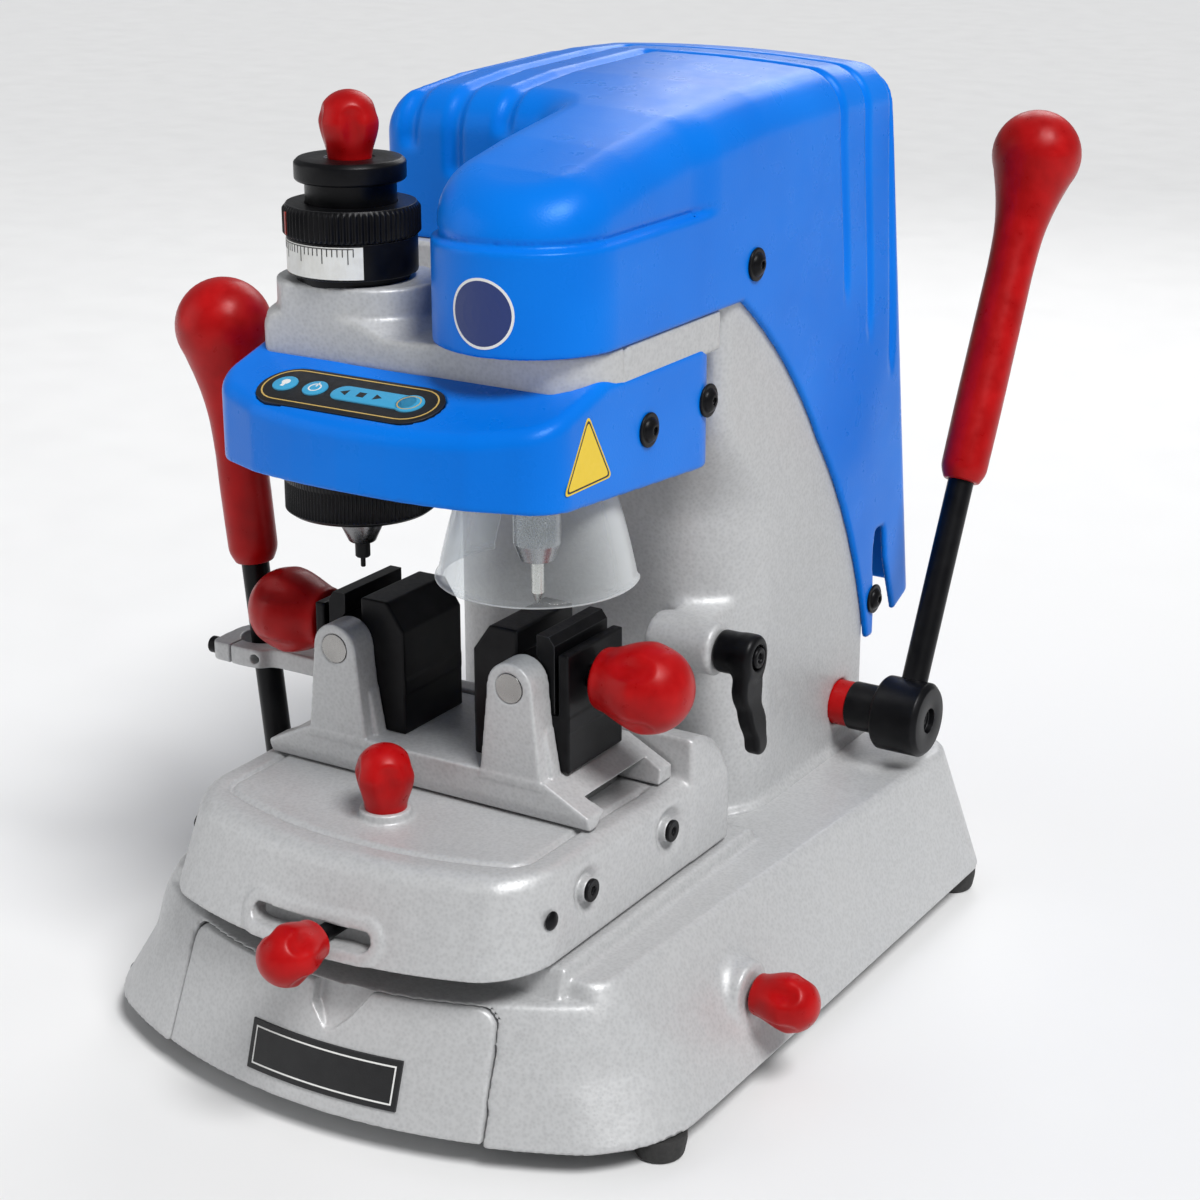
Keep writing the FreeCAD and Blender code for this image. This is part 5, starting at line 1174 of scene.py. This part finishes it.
def button_screw(x, y, z):
    """Washer and button head with a hexagon socket, along +Z."""
    across = np.sqrt(x * x + y * y)
    washer = both(across - 8, slab(z, (0, 1.3)), 0.4)
    dome = both(np.sqrt(across ** 2 + (z + 2.9) ** 2) - 7.4, across - 5.6)
    head = both(both(dome, z - 4.3, 0.6), -z)
    shape = either(washer, head, 0.3)
    return less(shape, both(hex_recess(x, y, 3.6), 2.2 - z), 0.2)


def flat_screw(x, y, z):
    """Countersunk head with a hexagon socket, along +Z."""
    across = np.sqrt(x * x + y * y)
    head = both(across - 5.4, slab(z, (0, 2)), 0.4)
    return less(head, both(hex_recess(x, y, 3.8), 0.8 - z), 0.25)


def cap_screw(x, y, z):
    """Socket cap screw, along +Z."""
    across = np.sqrt(x * x + y * y)
    head = both(across - 4.3, slab(z, (0, 4.6)), 0.5)
    return less(head, both(hex_recess(x, y, 3.4), 2.0 - z), 0.2)


def copies(name, field, reach, height, places, body, replaces=(), step=0.36):
    """One piece made of a small field repeated at several places, each with its own direction."""
    points, quads = surface_nets(field, (-reach, -reach, -0.5), (reach, reach, height), step * COARSE)
    all_points, all_quads = [], []
    for number, (place, axis) in enumerate(places):
        turn = Matrix.Rotation(0.7 * number, 4, "Z")
        all_points.append(placed(points, Matrix.Translation(place) @ heading(axis) @ turn))
        all_quads.append(quads + number * len(points))
    return add(name, np.concatenate(all_points), np.concatenate(all_quads), BLACK, body, replaces)


def build_fasteners():
    covers = [(HOOD_HALF, 19, 366), (HEAD_HALF, -79, 308.5), (HEAD_HALF, -25, 310), (HOOD_HALF, 163, 157)]
    places = [((side * x, y, z), (side, 0, 0)) for x, y, z in covers for side in (1, -1)]
    copies("cover_bolts", button_screw, 9, 5, places, "head", ["cover_screws"])
    skirt = [(SKIRT_HIGH[0] - 0.6, -144, 111.6), (SKIRT_HIGH[0] - 0.6, -72, 112.6)]
    places = [((side * x, y, z), (side, 0, 0)) for x, y, z in skirt for side in (1, -1)]
    copies("carriage_bolts", flat_screw, 6.5, 3, places, "carriage", ["skirt_screws"])
    plugs = [((side * (SKIRT_HIGH[0] - 1.9), -174, 108.6), (side, -0.12, 0.05)) for side in (1, -1)]
    copies("carriage_plugs", plug_dome, 6, 4, plugs, "carriage")
    centre = ring_centre()
    place = (centre[0] - 18.8, centre[1] - 13.5, centre[2])
    copies("ring_clamp_screw", cap_screw, 5.5, 6, [(place, (-1, 0, 0))], "vise_slide")


def plug_dome(x, y, z):
    """Small domed plug, along +Z."""
    return both(ball(x, y, z, (0, 0, -4.5), 6.6), slab(z, (0, 3)), 0.5)


def lock_lever_field(x, y, z):
    """Height-lock lever: round hub, hexagon screw and a curved arm that thickens to a round end."""
    low, high = mm_box("height_lock_lever")
    hub_y, hub_z = joint_place("height_lock_turn")[1:]
    hub = both(disc(y, z, (hub_y, hub_z), 10.5), slab(x, (94.3, 114)), 2)
    path = [(hub_y, hub_z), (hub_y - 1.5, hub_z - 16), (hub_y + 1, hub_z - 32), (hub_y + 2, hub_z - 45)]
    radii = (9, 7, 5.6, 5.2)
    arm = None
    for start, end, thick in zip(path, path[1:], radii):
        part = bar(y, z, start, end, thick)
        arm = part if arm is None else either(arm, part, 4)
    lift = 3.5 * ramp(-z, 20 - hub_z, 45 - hub_z)
    arm = both(arm, slab(x - lift, (105.5, 114)), 2.4)
    shape = either(hub, arm, 4)
    screw = both(disc(y, z, (hub_y, hub_z), 5.2), slab(x, (110, 116)), 0.6)
    shape = either(less(shape, both(disc(y, z, (hub_y, hub_z), 6.4), 112.4 - x), 0.5), screw)
    socket = both(hex_recess(y - hub_y, z - hub_z, 4.4), 114 - x)
    stud = both(disc(y, z, (hub_y, hub_z), 4), slab(x, (68, 100)))
    return either(less(shape, socket, 0.2), stud)


def build_small():
    low, high = mm_box("cutter_shield")
    cast("clear_bell", shield_field, low - 2, high + 1, 0.9, CLEAR, "shield", ["cutter_shield"])
    low, high = mm_box("height_lock_lever")
    cast("lock_lever_arm", lock_lever_field, low - 3, high + 3, 0.7, BLACK, "height_lock",
         ["height_lock_lever"])
    foot = [(3.3, 0), (10.2, 0), (11.4, 1.6), (12.6, 8), (12.6, 12), (3.3, 12)]
    points, faces = lathe(softened(foot, 0.8, 2), 48)
    all_points, all_faces = [], []
    low, high = mm_box("rubber_feet")
    reach = (high[0] - 12, high[1] - 12)
    for number, (side, end) in enumerate(((1, 1), (1, -1), (-1, 1), (-1, -1))):
        all_points.append(np.asarray(points) + (side * reach[0], end * reach[1], 0))
        all_faces += [tuple(index + number * len(points) for index in face) for face in faces]
    add("feet", np.concatenate(all_points), all_faces, RUBBER, "base", ["rubber_feet"], 40)


# ---- CAD nodes that stay in view --------------------------------------------------------------

def dress(material, *nodes):
    """Give CAD nodes that stay shown a better material."""
    for node in nodes:
        for entry in frame["nodes"][node].material_slots:
            entry.material = material


def motor_enamel():
    """Dark blue-black enamel over a ribbed motor shell."""
    n = Nodes("motor_enamel")
    base = n.mix(n.noise(14, 3.0), (0.020, 0.024, 0.032), (0.040, 0.046, 0.058))
    base = n.mix(n.sums("MULTIPLY", n.worn_edges(0.7), 0.4), base, (0.22, 0.23, 0.25))
    return n.finish(base, n.spread(n.noise(5, 3.0), 0.3, 0.7, 0.34, 0.50), n.relief(n.noise(0.9, 2.0), 0.03), 0.2)


def belt_rubber():
    """Matt rubber belt with a woven back."""
    n = Nodes("belt_rubber")
    weave = n.noise(0.5, 2.0, 0.5, (1, 1, 0.3))
    base = n.mix(weave, (0.010, 0.010, 0.010), (0.030, 0.029, 0.028))
    return n.finish(base, n.spread(weave, 0.3, 0.7, 0.60, 0.82), n.relief(weave, 0.04))


def dress_nodes():
    spindle = joint_place("spindle_spin")
    shaft = joint_place("lever_swing")
    pin = mm_box("cross_pins")
    radius = (pin[1][2] - pin[0][2]) / 2
    pins = (pin[1][0] - radius, 0, (pin[0][2] + pin[1][2]) / 2)
    dress(turned_steel("pin_steel", (0.36, 0.35, 0.34), 1, pins, 0.9, True), "cross_pins")
    dress(turned_steel("spindle_steel", (0.40, 0.40, 0.41), 2, spindle, 0.30), "spindle_shaft")
    dress(turned_steel("cutter_steel", (0.62, 0.61, 0.58), 2, spindle, 0.22), "cutter")
    dress(turned_steel("pinion_steel", STEEL, 0, shaft, 0.40), "pinion_shaft")
    dress(turned_steel("guide_steel", (0.64, 0.63, 0.62), 2, (0, 60, 0), 0.50), "head_guide_rods")
    dress(ground_steel("rail_steel", (0.58, 0.58, 0.57), (1, 0.05, 1)), "y_guide_rails", "y_bearing_blocks")
    dress(ground_steel("dovetail_steel", (0.52, 0.52, 0.52), (0.05, 1, 1)), "x_dovetail_rail")
    dress(ground_steel("rack_steel", (0.46, 0.46, 0.46), (1, 1, 0.06)), "head_rack", "spindle_bearings")
    dress(ground_steel("gimbal_steel", (0.42, 0.42, 0.43), (1, 1, 0.1)), "lever_gimbal")
    dress(ground_steel("tray_aluminium", (0.66, 0.67, 0.68), (0.06, 1, 1)), "drawer_tray", "column_guide_block")
    dress(turned_steel("pulley_aluminium", (0.68, 0.69, 0.70), 2, joint_place("motor_spin"), 0.35), "motor_pulley")
    dress(turned_steel("spindle_pulley_aluminium", (0.68, 0.69, 0.70), 2, spindle, 0.35), "spindle_pulley")
    dress(motor_enamel(), "spindle_motor")
    dress(belt_rubber(), "drive_belt")
    dress(RED, "lever_bushes")
    dress(BLACK, "lever_socket", "left_lever_rod", "right_lever_rod", "left_outer_jaw", "right_outer_jaw")
    dress(PLASTIC, "power_inlet", "power_switch")


# ---- printed marks ----------------------------------------------------------------------------

def strip(name, outline_pairs, thickness, material, body):
    """Thin closed plates; each pair is (list of points, list of raised points) of one plate."""
    points, faces = [], []
    for low, high in outline_pairs:
        start, count = len(points), len(low)
        points += list(low) + list(high)
        faces.append(tuple(range(start + count - 1, start - 1, -1)))
        faces.append(tuple(range(start + count, start + 2 * count)))
        for number in range(count):
            on = (number + 1) % count
            faces.append((start + number, start + on, start + count + on, start + count + number))
    return add(name, points, faces, material, body, crisp=30)


def wrapped(angle, height, radius, centre):
    return (centre[0] + radius * math.cos(angle), centre[1] + radius * math.sin(angle), height)


def curved_plate(angles, low, high, radius, thickness, centre):
    """Plate on a cylinder, as bands of quads between two heights."""
    pairs = []
    for start, end in zip(angles, angles[1:]):
        corners = ((start, low), (end, low), (end, high), (start, high))
        inner = [wrapped(angle, height, radius, centre) for angle, height in corners]
        outer = [wrapped(angle, height, radius + thickness, centre) for angle, height in corners]
        pairs.append((inner, outer))
    return pairs


def ticks_round(count, radius, top, lengths, wide, centre, thickness=0.12):
    """Scale marks round a cylinder; every mark of a cycle has its own length."""
    pairs = []
    for number in range(count):
        angle = 2 * math.pi * number / count
        half = wide / 2 / radius
        low = top - lengths[number % len(lengths)]
        pairs += curved_plate([angle - half, angle + half], low, top, radius - 0.05, thickness + 0.05, centre)
    return pairs


def build_scales():
    """White marks of the dial, the micrometer's label with plain lines, and its red index mark."""
    top = DIAL_HIGH[2] - 1.6
    marks = ticks_round(50, 36, top, (6.4, 3.0, 3.0, 3.0, 3.0), 0.85, TRACER_AT)
    strip("dial_marks", marks, 0.12, WHITE_INK, "dial")
    low, high = LABEL_LOW[2] + 5.2, LABEL_HIGH[2] - 1.2
    angles = np.radians(np.linspace(-178, -44, 28))
    strip("micrometer_label", curved_plate(angles, low, high, 29.8, 0.25, TRACER_AT), 0.25, LABEL, "head")
    lines = []
    for number in range(27):
        angle = math.radians(-172 + number * 4.6)
        half = 0.22 / 30
        reach = 7.5 if number % 5 == 0 else 4.2
        lines += curved_plate([angle - half, angle + half], high - reach, high - 0.6, 29.95, 0.2, TRACER_AT)
    base_line = np.radians(np.linspace(-172, -52, 25))
    lines += curved_plate(base_line, high - 0.9, high - 0.5, 29.95, 0.2, TRACER_AT)
    strip("micrometer_lines", lines, 0.2, BLACK_INK, "head")
    mark = curved_plate(np.radians([-125.5, -122.5]), KNURL_LOW[2] + 1.5, KNURL_HIGH[2] - 2.6, 31.0, 0.62, TRACER_AT)
    strip("micrometer_index", mark, 0.6, printed("red_ink", (0.35, 0.03, 0.02)), "micrometer")


def flat_plate(outline, low, high, matrix):
    """Prism of a plane outline between two heights of a frame."""
    lower = placed([(u, v, low) for u, v in outline], matrix)
    upper = placed([(u, v, high) for u, v in outline], matrix)
    return [tuple(p) for p in lower], [tuple(p) for p in upper]


def capsule(half, wide, at=0.0, count=14):
    """Outline of a bar with round ends."""
    right = [(at + half - wide + wide * math.cos(t), wide * math.sin(t))
             for t in np.linspace(-math.pi / 2, math.pi / 2, count)]
    left = [(at - half + wide + wide * math.cos(t), wide * math.sin(t))
            for t in np.linspace(math.pi / 2, 3 * math.pi / 2, count)]
    return right + left


def ring_plates(outer, inner, low, high, matrix):
    """Closed line between two outlines with the same number of points."""
    pairs = []
    for number in range(len(outer)):
        on = (number + 1) % len(outer)
        quad = [outer[number], outer[on], inner[on], inner[number]]
        pairs.append(flat_plate(quad, low, high, matrix))
    return pairs


def circle(radius, at=(0.0, 0.0), count=40):
    return [(at[0] + radius * math.cos(t), at[1] + radius * math.sin(t))
            for t in np.linspace(0, 2 * math.pi, count, endpoint=False)]


PANEL_HALF = (PANEL_HIGH[0] - PANEL_LOW[0]) / 2
PANEL_WIDE = 15.5
LIGHT_AT, START_AT = -35.4, -18.7
SELECTOR_AT, SELECTOR_HALF, SELECTOR_WIDE = 14.5, 23.5, 5.8
SELECTOR_END, SELECTOR_END_RADIUS = 32.6, 7.0


def domed(name, outlines, rise, material, body, replaces=()):
    """Soft key: a short prism with a rounded shoulder over each outline's own centre."""
    points, faces = [], []
    for outline, centre in outlines:
        count = len(outline)
        levels = ((1.0, rise[0]), (1.0, rise[1] - 0.45), (0.975, rise[1] - 0.15), (0.90, rise[1]))
        start = len(points)
        for scale, height in levels:
            for u, v in outline:
                points.append((centre + (u - centre) * scale, v * scale, height))
        faces.append(tuple(range(start + count - 1, start - 1, -1)))
        last = start + 3 * count
        faces.append(tuple(range(last, last + count)))
        for level in range(3):
            for number in range(count):
                on = (number + 1) % count
                a, b = start + level * count, start + (level + 1) * count
                faces.append((a + number, a + on, b + on, b + number))
    points = placed(points, panel_matrix())
    return add(name, points, faces, material, body, replaces, 40)


def build_panel():
    """Keypad: black plate with a gold line, two round keys, the long key and its plain symbols."""
    face = 1.15
    plate = domed("keypad_plate", [(capsule(PANEL_HALF, PANEL_WIDE), 0.0)], (-1.4, face), PLASTIC, "head",
                  ["control_panel"])
    matrix = panel_matrix()
    gold = ring_plates(capsule(PANEL_HALF - 2.4, PANEL_WIDE - 2.4), capsule(PANEL_HALF - 3.1, PANEL_WIDE - 3.1),
                       face - 0.05, face + 0.08, matrix)
    strip("keypad_line", gold, 0.1, GOLD_INK, "head")
    top = face + 0.75
    domed("light_key_cap", [(circle(6.0, (LIGHT_AT, 0)), LIGHT_AT)], (0.2, top), KEY_BLUE, "light_key",
          ["light_button"])
    domed("start_key_cap", [(circle(6.0, (START_AT, 0)), START_AT)], (0.2, top), KEY_BLUE, "start_key",
          ["start_button"])
    domed("selector_cap", [(capsule(SELECTOR_HALF, SELECTOR_WIDE, SELECTOR_AT), SELECTOR_AT),
                           (circle(SELECTOR_END_RADIUS, (SELECTOR_END, 0)), SELECTOR_END)],
          (0.2, top), KEY_BLUE, "selector", ["selector_key"])
    marks = [
        [(-4.6, 0), (-0.6, -2.3), (-0.6, 2.3)],
        [(4.9, -1.9), (8.9, -1.9), (8.9, 1.9), (4.9, 1.9)],
        [(14.0, -2.3), (18.0, 0), (14.0, 2.3)],
    ]
    strip("selector_symbols", [flat_plate(outline, top - 0.05, top + 0.06, matrix) for outline in marks],
          0.1, BLACK_INK, "selector")
    bulb = [flat_plate(circle(2.1, (LIGHT_AT, 0.9), 20), top - 0.05, top + 0.06, matrix),
            flat_plate([(LIGHT_AT - 0.9, -3.0), (LIGHT_AT + 0.9, -3.0), (LIGHT_AT + 0.9, -1.2),
                        (LIGHT_AT - 0.9, -1.2)], top - 0.05, top + 0.06, matrix)]
    strip("light_symbol", bulb, 0.1, WHITE_INK, "light_key")
    ring = ring_plates(circle(3.2, (START_AT, 0)), circle(2.5, (START_AT, 0)), top - 0.05, top + 0.06, matrix)
    ring.append(flat_plate([(START_AT - 0.35, 0.8), (START_AT + 0.35, 0.8), (START_AT + 0.35, 4.2),
                            (START_AT - 0.35, 4.2)], top - 0.05, top + 0.06, matrix))
    strip("start_symbol", ring, 0.1, WHITE_INK, "start_key")
    end_ring = ring_plates(circle(5.6, (SELECTOR_END, 0)), circle(5.1, (SELECTOR_END, 0)),
                           top - 0.05, top + 0.06, matrix)
    strip("selector_end_line", end_ring, 0.1, GOLD_INK, "selector")
    return plate


def nose_patch(radius, hole, low, high, count=48):
    """Round patch, or ring, wrapped on the hood's nose."""
    centre_angle, centre_height = math.radians(-86.8), 369.6
    pairs = []
    for number in range(count):
        corners = []
        for ring, step in ((radius, 0), (radius, 1), (hole, 1), (hole, 0)):
            t = 2 * math.pi * (number + step) / count
            corners.append((centre_angle + ring * math.cos(t) / NOSE_RADIUS, centre_height + ring * math.sin(t)))
        inner = [wrapped(angle, height, NOSE_RADIUS + low, NOSE) for angle, height in corners]
        outer = [wrapped(angle, height, NOSE_RADIUS + high, NOSE) for angle, height in corners]
        pairs.append((inner, outer))
    return pairs


def build_stickers():
    """Plain round patch on the hood's nose and plain warning triangle on the cover's flank."""
    disc_rings = nose_patch(14.2, 9.5, -0.1, 0.14) + nose_patch(9.5, 4.7, -0.1, 0.14)
    disc_rings += nose_patch(4.7, 0.01, -0.1, 0.14)
    strip("round_patch", disc_rings, 0.1, NAVY, "head")
    strip("round_patch_rim", nose_patch(15.4, 14.2, -0.1, 0.16), 0.1, WHITE_INK, "head")
    flank = Matrix.Translation((HEAD_HALF, -129.6, 305.5)) @ Matrix(((0, 0, 1, 0), (1, 0, 0, 0), (0, 1, 0, 0),
                                                                   (0, 0, 0, 1)))
    triangle = [(-19.5, -10.8), (19.5, -10.8), (0, 21.6)]
    rounded = round_corners(triangle, 2.2)
    inner = round_corners([(u * 0.86, v * 0.86) for u, v in triangle], 1.6)
    border = round_corners([(u * 0.93, v * 0.93) for u, v in triangle], 1.9)
    strip("triangle_patch", [flat_plate(rounded, -0.1, 0.14, flank)], 0.1, YELLOW, "head")
    strip("triangle_line", ring_plates(border, inner, 0.1, 0.2, flank), 0.1, BLACK_INK, "head")


def round_corners(outline, r, count=6):
    """Polygon with arcs at its corners."""
    result = []
    for number, corner in enumerate(outline):
        corner = np.array(corner, float)
        back = np.array(outline[number - 1]) - corner
        on = np.array(outline[(number + 1) % len(outline)]) - corner
        start = corner + back / np.hypot(*back) * r * 1.7
        end = corner + on / np.hypot(*on) * r * 1.7
        for t in np.linspace(0, 1, count):
            result.append(tuple((1 - t) ** 2 * start + 2 * t * (1 - t) * corner + t * t * end))
    return result


def plate_spot(u, v, out):
    """Point of the drawer's bowed front at a width and a height, lifted outwards."""
    climb = (v - BASE_FLOOR) / (BASE_ROOF - BASE_FLOOR)
    half = BASE_HALF + (BASE_LIP_HALF - BASE_HALF) * climb
    fall = bow(u, half, 51 - 4 * climb)[0]
    return (u, BASE_LOW[1] + 20 * climb + fall - out, v)


def bowed_band(columns, low, high, out):
    """Closed band on the drawer's front: one ring of four points at each column."""
    points, faces = [], []
    for u in columns:
        points += [plate_spot(u, low, 0), plate_spot(u, low, out), plate_spot(u, high, out), plate_spot(u, high, 0)]
    for start in range(0, len(points) - 4, 4):
        for number in range(4):
            on = (number + 1) % 4
            faces.append((start + number, start + 4 + number, start + 4 + on, start + on))
    last = len(points) - 4
    faces += [(3, 2, 1, 0)[::-1], (last + 3, last + 2, last + 1, last)]
    return points, faces


def build_nameplate():
    """Plain black plate with a thin light border on the bowed drawer front."""
    low, high = mm_box("nameplate")
    columns = np.linspace(low[0] + 0.5, high[0] - 0.5, 40)
    points, faces = bowed_band(columns, low[2] + 0.5, high[2] - 0.5, 0.9)
    add("plain_plate", points, faces, PLASTIC, "drawer", ["nameplate"], 30)
    left, right, bottom, top = low[0] + 3, high[0] - 3, low[2] + 3, high[2] - 3
    wide = 0.7
    inner = np.linspace(left, right, 40)
    bands = ((inner, bottom, bottom + wide), (inner, top - wide, top),
             ((left, left + wide), bottom + wide, top - wide), ((right - wide, right), bottom + wide, top - wide))
    all_points, all_faces = [], []
    for columns, band_low, band_high in bands:
        points, faces = bowed_band(columns, band_low, band_high, 1.0)
        all_faces += [tuple(index + len(all_points) for index in face) for face in faces]
        all_points += points
    add("plate_rim", all_points, all_faces, WHITE_INK, "drawer", crisp=30)


# ---- studio -----------------------------------------------------------------------------------

def build_floor():
    """Pale flat floor under the machine."""
    n = Nodes("pale_floor")
    floor_material = n.finish((0.83, 0.83, 0.83), n.spread(n.noise(60, 3.0), 0.3, 0.7, 0.55, 0.7),
                              n.relief(n.noise(4, 2.0), 0.02))
    bpy.ops.mesh.primitive_plane_add(size=60, location=(0, 0, 0))
    floor = bpy.context.object
    floor.name = "floor"
    floor.data.materials.append(floor_material)


def add_light(name, place, size, power, colour=(1, 1, 1)):
    """Square soft light aimed at the machine."""
    lamp = bpy.data.lights.new(name, "AREA")
    lamp.size = size
    lamp.energy = power
    lamp.color = colour
    obj = bpy.data.objects.new(name, lamp)
    bpy.context.scene.collection.objects.link(obj)
    obj.location = place
    aim = Vector((0, -0.03, 0.22)) - Vector(place)
    obj.rotation_euler = aim.to_track_quat("-Z", "Y").to_euler()


def add_sun(name, direction, power, angle):
    """Soft sun that shines from a direction."""
    lamp = bpy.data.lights.new(name, "SUN")
    lamp.energy = power
    lamp.angle = math.radians(angle)
    obj = bpy.data.objects.new(name, lamp)
    bpy.context.scene.collection.objects.link(obj)
    obj.rotation_euler = (-Vector(direction)).to_track_quat("-Z", "Y").to_euler()


def build_world():
    """Dim surroundings for the machine, plain white behind it."""
    world = bpy.data.worlds.new("studio")
    world.use_nodes = True
    tree = world.node_tree
    around = tree.nodes["Background"]
    around.inputs["Color"].default_value = (0.95, 0.97, 1.0, 1)
    around.inputs["Strength"].default_value = 0.22
    behind = tree.nodes.new("ShaderNodeBackground")
    behind.inputs["Color"].default_value = (0.93, 0.93, 0.93, 1)
    path = tree.nodes.new("ShaderNodeLightPath")
    blend = tree.nodes.new("ShaderNodeMixShader")
    tree.links.new(path.outputs["Is Camera Ray"], blend.inputs["Fac"])
    tree.links.new(around.outputs[0], blend.inputs[1])
    tree.links.new(behind.outputs[0], blend.inputs[2])
    tree.links.new(blend.outputs[0], tree.nodes["World Output"].inputs["Surface"])
    bpy.context.scene.world = world


def build_studio():
    build_floor()
    build_world()
    add_sun("key", (0.85, -0.38, 1.35), 2.9, 22)
    add_light("left_fill", (-1.5, -1.2, 0.9), 1.4, 6)
    add_light("rim", (-0.4, 1.6, 1.3), 1.0, 8)
    bpy.context.scene.view_settings.view_transform = "Standard"


def build_camera():
    camera_data = bpy.data.cameras.new("camera")
    camera_data.lens = 74.0
    camera_data.sensor_width = 36.0
    camera = bpy.data.objects.new("camera", camera_data)
    bpy.context.scene.collection.objects.link(camera)
    camera.location = (0.630, -0.9946, 0.600)
    aim = Vector((0.0613, -0.0701, 0.2199)) - camera.location
    camera.rotation_euler = aim.to_track_quat("-Z", "Y").to_euler()
    bpy.context.scene.camera = camera


build_base()
build_column()
build_carriage()
build_vise()
build_head()
build_knobs()
build_levers()
build_tracer()
build_fasteners()
build_small()
build_scales()
build_panel()
build_stickers()
build_nameplate()
dress_nodes()
build_studio()
build_camera()
